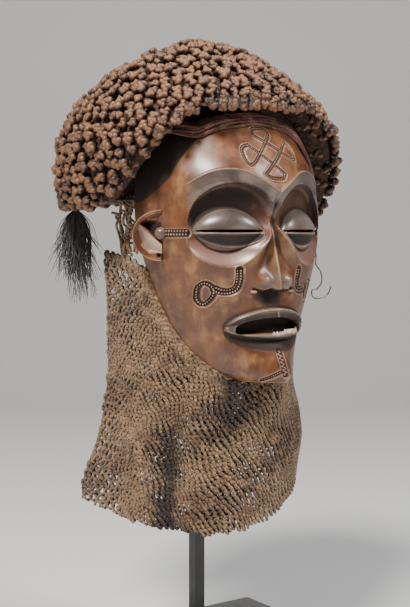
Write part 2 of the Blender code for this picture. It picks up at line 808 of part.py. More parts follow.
def build_stand(parts, tools, frame, steel, lacquer):
    width, depth, height = FOOT_SIZE
    low, high = (-width / 2, -depth / 2, 0), (width / 2, depth / 2, height)
    add_object("stand_foot", box_mesh("stand_foot", low, high, FOOT_EDGE), parts, lacquer)
    half = POST_WIDTH / 2
    foot_top = height + GAP - EYE_LEVEL
    post_low = (-half, BROW_TO_POST - half, foot_top)
    post_high = (half, BROW_TO_POST + half, POST_TOP)
    post = add_object("stand_post", box_mesh("stand_post", post_low, post_high), parts, steel, frame)
    for k, (level, reach, side) in enumerate(zip(ARM_LEVELS, ARM_REACHES, ARM_HALF_WIDTHS)):
        bars = (
            (f"arm_{k}", (-half, reach, level - half), (half, BROW_TO_POST, level + half)),
            (f"crossbar_{k}", (-side, reach - half, level - half), (side, reach + half, level + half)),
        )
        for name, low, high in bars:
            tool = add_object(name, box_mesh(name, low, high), tools, None, frame)
            hide_tool(tool)
            boolean(post, tool, "UNION")


def main():
    for old in list(bpy.data.objects):
        bpy.data.objects.remove(old, do_unlink=True)
    parts = bpy.data.collections.new(OBJECT_NAME)
    tools = bpy.data.collections.new("cutters")
    for collection in (parts, tools):
        bpy.context.scene.collection.children.link(collection)
    frame = bpy.data.objects.new("mask_frame", None)
    frame.location = (0, -BROW_TO_POST, EYE_LEVEL)
    parts.objects.link(frame)
    bpy.context.view_layer.update()
    wood = material("carved_wood", (0.235, 0.085, 0.035), 0.38)
    hair = material("knotted_fibre", (0.200, 0.080, 0.045), 0.85)
    cords = material("band_fibre", (0.130, 0.045, 0.028), 0.80)
    netting = material("net_fibre", (0.120, 0.065, 0.035), 0.85)
    strands = material("dark_fibre", (0.030, 0.028, 0.028), 0.80)
    iron = material("wire_iron", (0.180, 0.160, 0.140), 0.45, 1.0)
    steel = material("black_steel", (0.012, 0.012, 0.013), 0.45, 0.6)
    lacquer = material("black_lacquered_wood", (0.012, 0.012, 0.012), 0.35)
    build_face(parts, tools, frame, wood)
    build_hair(parts, frame, hair)
    build_headband(parts, frame, cords)
    build_net(parts, frame, netting)
    build_tuft(parts, frame, strands)
    build_wire(parts, frame, iron)
    build_stand(parts, tools, frame, steel, lacquer)


main()
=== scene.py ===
# Looks of a Chokwe mwana pwo mask on its stand: fine carving of the wooden face, knots of
# the coiffure, twisted cords, looped netting, fibre strands, wire and the black stand.
# Metres, +Z up. Every piece is worked out in the mask's own frame, with X to its left,
# Y back from the dip of its brow line and Z up from its eye slits, and placed by in_world.

import math
import random

import bmesh
import bpy
import numpy as np
from mathutils import Matrix, Vector


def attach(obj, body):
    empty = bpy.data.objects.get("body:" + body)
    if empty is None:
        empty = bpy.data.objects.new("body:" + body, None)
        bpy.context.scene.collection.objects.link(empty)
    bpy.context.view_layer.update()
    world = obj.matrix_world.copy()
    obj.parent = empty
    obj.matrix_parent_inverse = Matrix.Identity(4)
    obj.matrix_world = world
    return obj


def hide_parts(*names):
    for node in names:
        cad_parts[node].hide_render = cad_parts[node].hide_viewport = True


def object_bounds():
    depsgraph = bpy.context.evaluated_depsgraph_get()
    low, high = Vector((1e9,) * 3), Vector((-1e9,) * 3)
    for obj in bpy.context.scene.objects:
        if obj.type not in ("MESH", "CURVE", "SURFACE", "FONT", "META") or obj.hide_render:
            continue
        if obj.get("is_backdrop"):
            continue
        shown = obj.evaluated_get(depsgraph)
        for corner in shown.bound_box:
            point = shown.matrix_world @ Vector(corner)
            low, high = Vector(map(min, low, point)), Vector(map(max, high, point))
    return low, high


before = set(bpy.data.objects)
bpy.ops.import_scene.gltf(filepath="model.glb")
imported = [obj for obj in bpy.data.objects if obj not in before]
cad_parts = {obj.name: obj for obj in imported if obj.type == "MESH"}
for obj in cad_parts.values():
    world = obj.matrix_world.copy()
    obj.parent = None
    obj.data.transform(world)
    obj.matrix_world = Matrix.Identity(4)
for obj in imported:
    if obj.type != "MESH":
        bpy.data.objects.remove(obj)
cad_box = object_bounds()

EYE_LEVEL = 0.389
BROW_TO_POST = 0.119
MASK_AT = np.array([0.0, -BROW_TO_POST, EYE_LEVEL])
TINY = 1e-12

# Camera: how far round from the front, how far from the brow, how far the picture's
# middle lies to the left, how far up the eye line stands in the picture, focal length
CAMERA_AZIMUTH = math.radians(35.0)
AHEAD = Vector((math.sin(CAMERA_AZIMUTH), math.cos(CAMERA_AZIMUTH), 0))
BESIDE = Vector((math.cos(CAMERA_AZIMUTH), -math.sin(CAMERA_AZIMUTH), 0))
CAMERA_DISTANCE = 0.96
CAMERA_LEFT = 0.0608
PHOTO_HEIGHT = 607
EYE_LINE_UP = 72.5
FOCAL_PIXELS = 1200.0

# Face as plain sections, from chin to crown:
# height, half width, depth of the rim, depth of the front, roundness
FACE_LEVELS = (
    (-0.1215, 0.023, 0.027, -0.005, 1.35), (-0.117, 0.031, 0.033, -0.0085, 1.3),
    (-0.106, 0.043, 0.046, -0.007, 1.3), (-0.097, 0.051, 0.053, -0.003, 1.35),
    (-0.083, 0.06, 0.061, 0.005, 1.5), (-0.061, 0.069, 0.07, 0.0085, 1.8),
    (-0.03, 0.078, 0.078, 0.0045, 2.0), (0.0, 0.0835, 0.084, 0.0, 2.05),
    (0.03, 0.083, 0.088, 0.0, 2.05), (0.05, 0.0795, 0.09, 0.007, 2.05),
    (0.064, 0.075, 0.091, 0.0158, 2.0), (0.087, 0.061, 0.092, 0.035, 2.0),
    (0.1, 0.043, 0.094, 0.052, 2.0), (0.109, 0.018, 0.095, 0.08, 2.0),
)
FACE_WALL = 0.008
# Steps between rows: from, to, number of steps
FACE_ROWS = (
    (-0.1215, -0.092, 34), (-0.092, -0.058, 50), (-0.058, -0.0016, 84), (-0.0016, 0.0016, 12),
    (0.0016, 0.092, 140), (0.092, 0.109, 10),
)
FACE_COLUMNS = 276
FACE_END_ROWS = 6
INSIDE_STEP = 6
INSIDE_PAINT = (0.0, 0.25, 0.0)
# How far the painted shadow under the lower lip reaches
UNDER_LIP = 0.0112

# Brow line, band under it, sockets, root of the nose
BROW_LINE = (
    (0.0, 0.031), (0.011, 0.0382), (0.019, 0.0434), (0.027, 0.0474), (0.0365, 0.0492),
    (0.0455, 0.0486), (0.0545, 0.0457), (0.065, 0.0385), (0.072, 0.032),
)
BROW_BAND = 0.01
BROW_BAND_DEPTH = 0.005
BROW_RIDGE = (0.0011, 0.0009)
SOCKET_PLACE = (0.0337, 0.005)
SOCKET_SIZE = (0.0336, 0.0335)
SOCKET_LOW_OUTWARD = 0.0077
SOCKET_LOW_NARROWER = 0.0044
SOCKET_DEPTH = 0.0165
SOCKET_STEEPNESS = (0.42, 0.85)
NOSE_ROOT_DEPTH = (
    (-0.07, 0.0), (-0.058, 0.0015), (-0.045, 0.004), (-0.025, 0.0075), (-0.005, 0.011),
    (0.005, 0.0105), (0.015, 0.0065), (0.031, 0.0),
)
NOSE_ROOT_HALF_WIDTH = (
    (-0.045, 0.024), (-0.02, 0.02), (-0.005, 0.01), (0.01, 0.005), (0.031, 0.004),
)

# Eyes
EYE_PLACE = 0.0358
EYE_HALF_WIDTH = 0.0265
LID_ABOVE = 0.0175
LID_BELOW = 0.0135
LID_ENDS = (0.66, 0.62)
LID_FLANK = 3.2
EYE_CORNERS_DEPTH = (0.0125, 0.0345)
LID_BULGE = 0.0115
LOWER_LID_FORWARD = 0.0065
LID_EDGE = (0.0006, 0.05)
LID_PROUD = 0.0011
SLIT_HEIGHT = 0.0027
SLIT_DEPTH = 0.009

# Nose
NOSE_RIDGE = (
    (-0.046, 0.0118), (-0.04, 0.0112), (-0.03, 0.009), (-0.02, 0.0065), (-0.01, 0.0035),
    (0.005, 0.0008), (0.02, 0.0),
)
NOSE_HALF_WIDTH = (
    (-0.046, 0.02), (-0.04, 0.02), (-0.033, 0.018), (-0.022, 0.0105), (-0.005, 0.005),
    (0.02, 0.004),
)
NOSE_END = -0.0475
NOSE_END_RISE = 0.28
NOSE_SHARPNESS = 1.35
NOSE_WING = (0.012, -0.04)
NOSE_WING_SIZE = (0.006, 0.0062, 0.0056)
NOSE_NOTCH = (0.0058, 0.003, 0.0018)
NOSTRIL_HOOK = (0.0192, -0.0487)
NOSTRIL_HOOK_SIZE = (0.003, 0.0011, 0.0022)

# Mouth
MOUTH_HALF_WIDTH = 0.0385
MOUTH_LEVEL = -0.0745
MOUTH_DROOP = 0.0042
UPPER_LIP = 0.0134
LOWER_LIP = 0.013
LIP_HEIGHT = 0.0048
LIP_EDGE = 0.002
LIP_RIM = (0.0005, 0.0006)
# How round the upper and the lower lip's outlines end; less is rounder
LIP_ENDS = (0.36, 0.52)
OPENING = (0.0328, 0.0068, 0.007)
OPENING_END = 0.28
OPENING_BELOW = 0.0016
TOOTH_PITCH = 0.0029
TOOTH_SIZE = (0.0016, 0.0014, 0.0042)
TEETH_RIGHT, TEETH_LEFT = -0.005, 0.031

# Ears
EAR_PLACE = (0.0795, 0.0532, -0.0035)
EAR_REACH = 0.024
EAR_HALF_HEIGHT = 0.0205
EAR_HOLE = (0.0022, -0.016)
EAR_BACK_PAINT = (0.0, 0.1, 0.0)
TRAGUS_PLACE = (0.0785, 0.0555, -0.002)
TRAGUS_SIZE = 0.0052

# Bands of beads, in the plane of x and z. The tear bands and temple bands are mirrored.
TEAR_BAND = (
    (0.0324, -0.0309), (0.0318, -0.0412), (0.0334, -0.0462), (0.0387, -0.0484), (0.0435, -0.0479),
    (0.0474, -0.0462),
)
TEAR_RING = (
    (0.0478, -0.0468), (0.0516, -0.0424), (0.0549, -0.0414), (0.057, -0.0438), (0.0573, -0.0498),
    (0.0557, -0.0562), (0.0526, -0.0588), (0.0497, -0.0556), (0.0474, -0.0508),
)
TEAR_HALF_WIDTH = 0.0033
# The tear band under the mask's left eye lies nearer to the nose than its right one
TEAR_LEFT_INWARD = 0.0068
RING_HALF_WIDTH = 0.0021
TEMPLE_BAND = ((0.0672, -0.0018), (0.0768, -0.0018))
TEMPLE_HALF_WIDTH = 0.0034
FOREHEAD_STROKES = (
    ((-0.0167, 0.0549), (0.0074, 0.0783)), ((-0.0108, 0.0449), (0.0239, 0.0733)),
    ((-0.0175, 0.0688), (0.0086, 0.0454)), ((-0.0083, 0.0772), (0.0225, 0.0586)),
)
FOREHEAD_ARCS = (
    ((-0.0175, 0.0688), (-0.0222, 0.0672), (-0.0246, 0.059), (-0.0218, 0.052), (-0.0167, 0.0549)),
    ((-0.0083, 0.0772), (-0.0078, 0.0815), (0.0, 0.0835), (0.007, 0.0825), (0.0074, 0.0783)),
    ((0.0239, 0.0733), (0.0278, 0.069), (0.0288, 0.0625), (0.0262, 0.058), (0.0225, 0.0586)),
    ((-0.0108, 0.0449), (-0.007, 0.0424), (-0.001, 0.0416), (0.006, 0.0424), (0.0086, 0.0454)),
)
FOREHEAD_HALF_WIDTH = 0.0016
CHIN_BAND = ((-0.0032, -0.0962), (-0.0013, -0.115))
CHIN_HALF_WIDTH = 0.0023
CHIN_SIDES = (((-0.0045, -0.1125), (-0.014, -0.119)), ((0.0045, -0.1125), (0.011, -0.118)))
CHIN_LINE = ((0.003, -0.0962), (0.0066, -0.112))
CHIN_LINE_HALF_WIDTH = 0.0004
RECESS_DEPTH = 0.0013
FINE_RECESS_DEPTH = 0.0009
BAND_LIP = (0.00045, 0.0005)
BEAD_PITCH = 0.0022
BEAD_SIZE = 0.00078
FINE_BEAD_SIZE = 0.00052
BEAD_SUNK = 0.15
BEAD_PAINT = (0.75, 0.0, 0.0)
TEAR_ROWS = (-0.0014, 0.0014)
TEMPLE_ROWS = (-0.0017, 0.001)
# Half width, half turns, pitch and size of the beads that make the chin's zigzag
CHIN_ZIGZAG = (0.0014, 12, 0.0007, 0.00045)

# Coiffure
HAIR_MIDDLE = 0.117
HAIR_HALF_WIDTH = 0.1225
HAIR_HALF_DEPTH = 0.109
HAIR_SQUARENESS = 2.5
HAIR_WIDEST = 0.07
HAIR_TOP = 0.166
HAIR_TOP_FORWARD = 0.003
HAIR_DOME = 1.61
HAIR_WALL = 0.028
HAIR_CORE_INSET = 0.0095
HAIR_CORE_RISE = 0.004
HAIR_AROUND = 96
HAIR_DOWN = 28
HAIR_EDGE = (
    (0, 0.098), (20, 0.096), (35, 0.093), (45, 0.08), (56, 0.058), (79, 0.02), (106, 0.019),
    (180, 0.021),
)
HAIR_FAR_DROP = 0.012
HAIR_INSIDE_RISE = 0.008
KNOT_ROW_PITCH = 0.0089
KNOT_PITCH = 0.0102
KNOT_SIZE = 0.0047
KNOT_SCALE = 0.59
KNOT_STRAND = 0.46
KNOT_STEM = 0.0085
STEM_RADII = (0.0013, 0.00115, 0.0012, 0.0015)
HAIR_EDGE_RADIUS = 0.108
# Knots under the edge and up its inner side: inset, climb above the edge, lean outwards
EDGE_KNOTS = (
    (0.003, 0.0, 0.4), (0.011, 0.002, 0.1), (0.019, 0.004, -0.2), (0.027, 0.008, -0.5),
    (0.029, 0.016, -0.8), (0.029, 0.024, -1.0),
)
KNOT_VARIANTS = 7
KNOT_STEPS = 18
KNOT_SIDES = 6

# Headband cords along the hairline: sideways place, height
HAIRLINE = (
    (-0.07, 0.056), (-0.062, 0.068), (-0.052, 0.077), (-0.038, 0.084), (-0.018, 0.0895),
    (0.0, 0.091), (0.018, 0.0895), (0.038, 0.084), (0.052, 0.077), (0.062, 0.068), (0.07, 0.056),
    (0.076, 0.043), (0.08, 0.03),
)
# Painted shadow of the coiffure on the wood above this line
HAIR_SHADOW_LINE = (
    (-0.0835, 0.02), (-0.08, 0.028), (-0.07, 0.047), (-0.06, 0.061), (-0.048, 0.074),
    (-0.03, 0.084), (0.0, 0.088), (0.03, 0.086), (0.048, 0.079), (0.06, 0.07), (0.07, 0.058),
    (0.08, 0.04), (0.0835, 0.03),
)
BAND_ENDS = (-0.065, 0.079)
BAND_CORDS = 9
BAND_CORD_RADIUS = 0.0011
BAND_HALF_HEIGHT = 0.0072
BAND_TWIST = 0.0052
# Depth of the two-ply cords' lobes, as a share of the radius
PLY_DEPTH = 0.26
BAND_STEPS = 260
BAND_FRAYS = 60

# Net collar
NET_MIDDLE = 0.112
NET_TURN = 0.72
NET_JOIN = 0.45
NET_TOP = (
    (0.14, -0.1195, 0.0016), (0.24, -0.114, 0.0012), (0.36, -0.098, 0.0006), (0.48, -0.076, 0.0),
    (0.6, -0.053, 0.0), (0.72, -0.03, 0.001), (0.82, -0.0215, 0.016), (1.0, -0.016, 0.052),
)
NET_BEHIND_RIM = 0.0032
NET_LEVELS = (
    (-0.25, 0.081, 0.08, 0.182), (-0.217, 0.081, 0.08, 0.175), (-0.183, 0.078, 0.078, 0.158),
    (-0.147, 0.075, 0.075, 0.148), (-0.11, 0.077, 0.081, 0.139), (-0.016, 0.08, 0.09, 0.134),
)
NET_HEM = (
    (-1.0, -0.238), (-0.5, -0.246), (-0.15, -0.249), (0.1, -0.239), (0.3, -0.224), (0.5, -0.207),
    (0.7, -0.199), (1.0, -0.201),
)
# Folds: place round the collar, width, depth inwards, distances below the eyes over
# which the fold grows and over which it ends
NET_FOLDS = (
    (-0.4, 0.075, 0.009, (0.12, 0.165), (0.3, 0.4)),
    (0.44, 0.26, -0.008, (0.122, 0.16), (0.172, 0.216)),
)
STITCH_PITCH = 0.0047
STITCH_ROW = 0.0035
STITCH_HEIGHT = 0.0029
STITCH_STEPS = 8
STITCH_SIDES = 5
# Share of a stitch by which its front leg leans over, and by which each row is set on
STITCH_LEAN = 0.24
ROW_SHIFT = 0.38
ROW_RISE = (0.03, -0.45, 0.95)
NET_CORD_RADIUS = 0.0015
NET_TWIST = 0.0032
BINDING_TWIST = 0.006
# Painted shade in the deep fold and behind the chin: place round the collar, width, strength,
# distances below the eyes over which it grows and over which it ends
NET_SHADE_PATCHES = (
    (-0.45, 0.09, 0.74, (0.125, 0.19), (0.3, 0.4)),
    (-0.15, 0.115, 0.66, (0.09, 0.122), (0.15, 0.186)),
)
# Rows drawn together near the right cheek, lighter with painted light: place round the collar and height,
# and widths
NET_BUNCH = (-0.62, 0.2, -0.114, 0.013)
NET_OUTWARD = 0.0012
# Rows that follow the wooden rim, above the level ones
RIM_ROWS = 3
TIES = 11
TIE_RADIUS = 0.0011
TIE_SWAY = (0.0018, 0.0034, 0.002)
NET_HIGHEST = -0.016
NET_RIBS = -0.62

# Tuft and wire
TUFT_APEX = (-0.09, 0.1745, 0.018)
TUFT_STRANDS = 330
TUFT_STEPS = 9
TUFT_NECK = 0.0022
STRAND_RADIUS = 0.00042
WIRE_RADIUS = 0.0006
WIRE_ROUTE = (
    (0.0814, 0.07, -0.016), (0.0878, 0.0636, -0.016), (0.0894, 0.063, -0.019),
    (0.0903, 0.0634, -0.024), (0.0905, 0.064, -0.029), (0.096, 0.064, -0.036),
    (0.0975, 0.064, -0.045), (0.0925, 0.064, -0.051), (0.086, 0.064, -0.053),
    (0.087, 0.064, -0.058), (0.095, 0.064, -0.06), (0.104, 0.064, -0.057), (0.109, 0.064, -0.049),
)


# Curves and shapes


def smooth_through(knots, place):
    """Value, at each place, of a smooth curve through (place, value) knots."""
    at, value = (np.array(column, float) for column in zip(*knots))
    slope = np.gradient(value, at)
    place = np.clip(place, at[0], at[-1])
    k = np.clip(np.searchsorted(at, place, side="right") - 1, 0, len(at) - 2)
    width = at[k + 1] - at[k]
    t = (place - at[k]) / width
    rise = value[k + 1] - value[k]
    bend = slope[k] * (t**3 - 2 * t**2 + t) + slope[k + 1] * (t**3 - t**2)
    return value[k] + rise * (3 * t**2 - 2 * t**3) + width * bend


def ease(value, start, end):
    """0 before start, 1 after end, smooth between."""
    t = np.clip((value - start) / (end - start), 0, 1)
    return t * t * (3 - 2 * t)


def between(value, grows, ends):
    """1 between the slope on which it grows and the one on which it ends."""
    return ease(value, *grows) * (1 - ease(value, *ends))


def bell(value, middle, width, power=2):
    """1 in the middle, falling off both ways."""
    return np.exp(-(np.abs((value - middle) / width) ** power))


def unit(vectors):
    return vectors / np.maximum(np.linalg.norm(vectors, axis=-1, keepdims=True), TINY)


def run_along(path):
    """Length of a path up to each of its points."""
    return np.append(0, np.cumsum(np.linalg.norm(np.diff(path, axis=0), axis=1)))


def numbers(first, second=0.0, third=0.0):
    """The three numbers of each point that a material reads."""
    return np.stack(np.broadcast_arrays(first, second, third), axis=-1)


def steps(ranges):
    """All the places in a list of (from, to, number of steps) that follow each other."""
    places = [np.linspace(a, b, n, endpoint=False) for a, b, n in ranges]
    return np.append(np.concatenate(places), ranges[-1][1])


def smooth_path(points, count, closed=False):
    """Evenly spaced points on a smooth curve through the given ones."""
    points = np.array(points, float)
    if closed:
        points = np.concatenate([points[-2:], points, points[:2]])
    at = run_along(points)
    first, last = (at[2], at[-2]) if closed else (at[0], at[-1])
    fine = np.linspace(first, last, 400)
    curve = np.stack([smooth_through(list(zip(at, column)), fine) for column in points.T], axis=1)
    run = run_along(curve)
    even = np.linspace(0, run[-1], count)
    return np.stack([np.interp(even, run, column) for column in curve.T], axis=1)


def distance_to(path, x, z):
    """Distance from each place to a line of straight pieces."""
    best = np.full(np.shape(x), np.inf)
    for (ax, az), (bx, bz) in zip(path[:-1], path[1:]):
        dx, dz = bx - ax, bz - az
        t = np.clip(((x - ax) * dx + (z - az) * dz) / (dx * dx + dz * dz), 0, 1)
        best = np.minimum(best, np.hypot(x - ax - t * dx, z - az - t * dz))
    return best


# Carving of the face


def face_level(z, column):
    return smooth_through([(row[0], row[column]) for row in FACE_LEVELS], z)


def plain_face(across, z, inset=0.0):
    """Sideways place and depth of the uncarved face; across runs from -1 to 1."""
    half_width = face_level(z, 1) - inset
    rim = face_level(z, 2)
    front = face_level(z, 3) + inset
    roundness = face_level(z, 4)
    share = np.abs(across)
    bow = (1 - share**roundness) ** (1 / roundness)
    return half_width * across, rim - (rim - front) * bow


def below_brow(x, z):
    return smooth_through(BROW_LINE, x) - z


def socket_inside(x, z):
    """1 in the middle of the eye socket, 0 at its edge and outside it."""
    low = ease(-z, -0.005, 0.015)
    middle = SOCKET_PLACE[0] + SOCKET_LOW_OUTWARD * low
    half_width = SOCKET_SIZE[0] - SOCKET_LOW_NARROWER * low
    ring = ((x - middle) / half_width) ** 2
    ring = ring + ((z - SOCKET_PLACE[1]) / SOCKET_SIZE[1]) ** 2
    return np.maximum(0, 1 - ring)


def hollows(x, z):
    """Depth of the band under the brow line, the eye sockets and the root of the nose."""
    band = BROW_BAND_DEPTH * np.clip(below_brow(x, z) / BROW_BAND, 0, 1)
    band = band * (1 - ease(x, 0.058, 0.072)) * ease(z, -0.005, 0.012)
    inside = socket_inside(x, z)
    upper = ease(z, -0.008, 0.014)
    steep, gentle = SOCKET_STEEPNESS
    socket = SOCKET_DEPTH * (upper * inside**steep + (1 - upper) * inside**gentle)
    half_width = smooth_through(NOSE_ROOT_HALF_WIDTH, z)
    root = smooth_through(NOSE_ROOT_DEPTH, z) * (1 - ease(x, 0.25 * half_width, half_width))
    return np.maximum(socket, root) + band


def brow_ridge(x, z):
    """Thin raised edge along the brow line."""
    height, width = BROW_RIDGE
    return height * bell(below_brow(x, z), 0, width) * (1 - ease(x, 0.062, 0.07))


def lid_place(x, z):
    """How far across and up the almond of the lids a place lies, 1 on its outline."""
    across = (x - EYE_PLACE) / EYE_HALF_WIDTH
    almond = np.maximum(0, 1 - across**2)
    above, below = LID_ENDS
    almond = np.maximum(almond, 1e-4)
    reach = np.where(z > 0, LID_ABOVE * almond**above, LID_BELOW * almond**below)
    return across, np.maximum(0, 1 - across**2), np.abs(z) / reach


def lid_depth(x, z):
    """Depth of the closed lids, which sink away beyond their almond outline."""
    across, almond, up = lid_place(x, z)
    inner, outer = EYE_CORNERS_DEPTH
    line = inner + (outer - inner) * (across + 1) / 2
    lower = LOWER_LID_FORWARD * ease(-z, 0, LID_BELOW) * almond
    bulge = LID_BULGE * almond**0.6 - lower
    profile = np.where(up < 1, np.maximum(0, 1 - up**2) ** 0.7, LID_FLANK * (1 - up))
    depth = line - lower - bulge * profile
    depth = depth - LID_EDGE[0] * bell(up, 1, LID_EDGE[1])
    return np.where(almond > 0, depth, np.inf)


def slit_depth(x, z):
    across, _, _ = lid_place(x, z)
    half = SLIT_HEIGHT / 2 * np.maximum(0, 1 - (across / 0.96) ** 2) ** 0.3
    return SLIT_DEPTH * (1 - ease(np.abs(z), half * 0.55, half + 1e-5)) * (half > 0)


def nose_height(x, z):
    ridge = smooth_through(NOSE_RIDGE, z)
    half_width = smooth_through(NOSE_HALF_WIDTH, z)
    wedge = ridge * np.maximum(0, 1 - x / half_width) ** NOSE_SHARPNESS
    side, level = NOSE_WING
    width, height, swell = NOSE_WING_SIZE
    wing = swell * bell(x, side, width) * bell(z, level, height)
    place, spread, raised = NOSE_NOTCH
    end = NOSE_END + raised * bell(x, place, spread) + NOSE_END_RISE * np.maximum(0, x - side)
    nose = (wedge + wing) * ease(z, end - 0.0008, end + 0.0008)
    side, level = NOSTRIL_HOOK
    width, height, swell = NOSTRIL_HOOK_SIZE
    return nose + swell * bell(x, side, width, 4) * bell(z, level, height, 4)


def lips_meet(x):
    """Height of the line on which the lips would meet."""
    return MOUTH_LEVEL - MOUTH_DROOP * (x / MOUTH_HALF_WIDTH) ** 2


def lip_reach(x, upper, least=0.0):
    """How far the upper or the lower lip reaches from that line."""
    almond = np.maximum(least, 1 - (x / MOUTH_HALF_WIDTH) ** 2)
    return (UPPER_LIP if upper else LOWER_LIP) * almond ** LIP_ENDS[0 if upper else 1]


def lip_height(x, z):
    """Height of the raised lips, and below zero in the opening between them."""
    up = z - lips_meet(x)
    inside = np.where(up > 0, lip_reach(x, True), lip_reach(x, False)) - np.abs(up)
    lips = LIP_HEIGHT * ease(inside, 0, LIP_EDGE)
    rim = LIP_RIM[0] * bell(inside, LIP_EDGE, LIP_RIM[1]) * (np.abs(x) < MOUTH_HALF_WIDTH)
    half_width, half_height, depth = OPENING
    open_reach = half_height * np.maximum(0, 1 - (x / half_width) ** 2) ** OPENING_END
    from_middle = np.abs(up + OPENING_BELOW)
    opening = (depth + LIP_HEIGHT) * ease(open_reach - from_middle, 0, LIP_EDGE * 0.5)
    return lips + rim - opening


def bands_edge(x, z):
    """Distance outwards from the edge of the deep and of the fine carved bands."""
    side = np.abs(x)
    under_eye = side + TEAR_LEFT_INWARD * (x > 0)
    tear = distance_to(smooth_path(TEAR_BAND, 24), under_eye, z) - TEAR_HALF_WIDTH
    ring = distance_to(smooth_path(TEAR_RING, 40, True), under_eye, z) - RING_HALF_WIDTH
    temple = distance_to(TEMPLE_BAND, side, z) - TEMPLE_HALF_WIDTH
    arcs = [smooth_path(arc, 16) for arc in FOREHEAD_ARCS]
    fine = distance_to(CHIN_BAND, x, z) - CHIN_HALF_WIDTH
    for band in (*FOREHEAD_STROKES, *arcs, *CHIN_SIDES):
        fine = np.minimum(fine, distance_to(band, x, z) - FOREHEAD_HALF_WIDTH)
    fine = np.minimum(fine, distance_to(CHIN_LINE, x, z) - CHIN_LINE_HALF_WIDTH)
    return np.minimum(np.minimum(tear, ring), temple), fine


def carved_bands(x, z):
    """Depth of the sunken bands, less the height of the raised lips beside them."""
    lip, width = BAND_LIP
    depth = 0
    for edge, sunk in zip(bands_edge(x, z), (RECESS_DEPTH, FINE_RECESS_DEPTH)):
        depth = depth + sunk * ease(-edge, -0.0001, 0.0006)
        depth = depth - lip * bell(edge, width, width)
    return depth


def face_point(across, z, closing=0.0):
    """Carved outer surface of the face."""
    x, depth = plain_face(across, z)
    side = np.abs(x)
    socket = depth + hollows(side, z)
    _, almond, up = lid_place(side, z)
    proud = LID_PROUD * (almond > 0) * ease(1 - up, 0.0, 0.05) * ease(almond, 0.0, 0.15)
    carved = np.minimum(socket - proud, lid_depth(side, z))
    carved = carved + slit_depth(side, z)
    depth = carved - brow_ridge(side, z) - nose_height(side, z) - lip_height(side, z)
    depth = depth + carved_bands(x, z)
    depth = depth + (face_level(z, 2) - depth) * closing
    return np.stack([x, depth, z], axis=-1)


def inside_point(across, z, closing):
    """Hollowed back of the face, one wall behind its large forms."""
    low, high = FACE_LEVELS[0][0], FACE_LEVELS[-1][0]
    z = low + FACE_WALL + (z - low) * (high - low - 2 * FACE_WALL) / (high - low)
    x, depth = plain_face(across, z, FACE_WALL)
    outside = np.abs(x) * face_level(z, 1) / (face_level(z, 1) - FACE_WALL)
    depth = depth + hollows(outside, z) * 0.85
    depth = depth + (face_level(z, 2) - depth) * closing
    return np.stack([x, depth, z], axis=-1)


def on_face(x, z):
    """Point of the carved surface at a sideways place and height."""
    return face_point(x / face_level(z, 1), z)


# Meshes


def in_world(points):
    return np.asarray(points, float) + MASK_AT


def add_mesh(name, points, faces, finish, smooth_angle=None, turn_outward=True):
    """Object that rides on the object's one body, from points in the mask's frame."""
    mesh = bpy.data.meshes.new(name)
    mesh.from_pydata(in_world(points).tolist(), [], [tuple(face) for face in faces])
    if turn_outward:
        shape = bmesh.new()
        shape.from_mesh(mesh)
        bmesh.ops.recalc_face_normals(shape, faces=shape.faces)
        shape.to_mesh(mesh)
        shape.free()
    mesh.shade_smooth()
    if smooth_angle is not None:
        mesh.set_sharp_from_angle(angle=math.radians(smooth_angle))
    mesh.materials.append(finish)
    piece = bpy.data.objects.new(name, mesh)
    bpy.context.scene.collection.objects.link(piece)
    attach(piece, "root")
    return piece


def set_points(piece, name, values):
    """Three numbers for each point of a mesh, which its material reads."""
    layer = piece.data.attributes.new(name, "FLOAT_VECTOR", "POINT")
    layer.data.foreach_set("vector", np.asarray(values, np.float32).ravel())


def grid_faces(rows, columns, first=0):
    corner = (np.arange(rows)[:, None] * (columns + 1) + np.arange(columns)[None, :]).ravel() + first
    above = corner + columns + 1
    return np.stack([corner, corner + 1, above + 1, above], axis=1).tolist()


def grid_edge(rows, columns, first=0):
    """Points round the edge of a grid, in order."""
    wide = columns + 1
    low = [first + c for c in range(columns)]
    right = [first + r * wide + columns for r in range(rows)]
    high = [first + rows * wide + c for c in range(columns, 0, -1)]
    left = [first + r * wide for r in range(rows, 0, -1)]
    return low + right + high + left


def edge_faces(outer, inner):
    """Faces between two closed rings, the outer with a whole number of points to each
    of the inner's."""
    share = len(outer) // len(inner)
    faces = []
    for i, here in enumerate(inner):
        beyond = inner[(i + 1) % len(inner)]
        for k in range(share):
            a = outer[i * share + k]
            b = outer[(i * share + k + 1) % len(outer)]
            faces.append((a, b, here if k < share / 2 else beyond))
        middle = outer[(i * share + math.ceil(share / 2)) % len(outer)]
        faces.append((here, middle, beyond))
    return faces


def shell(outer, inner):
    """Points and faces of a closed shell of two grids that share their edges' run."""
    rows, columns = outer.shape[0] - 1, outer.shape[1] - 1
    low_rows, low_columns = inner.shape[0] - 1, inner.shape[1] - 1
    points = np.concatenate([outer.reshape(-1, 3), inner.reshape(-1, 3)])
    first = (rows + 1) * (columns + 1)
    faces = grid_faces(rows, columns) + grid_faces(low_rows, low_columns, first)
    faces += edge_faces(grid_edge(rows, columns), grid_edge(low_rows, low_columns, first))
    return points, faces


def ring_faces(rings, sides, first=0):
    """Faces of a tube of rings of points."""
    faces = []
    for ring in range(rings - 1):
        for side in range(sides):
            a = first + ring * sides + side
            b = first + ring * sides + (side + 1) % sides
            faces.append((a, b, b + sides, a + sides))
    return faces


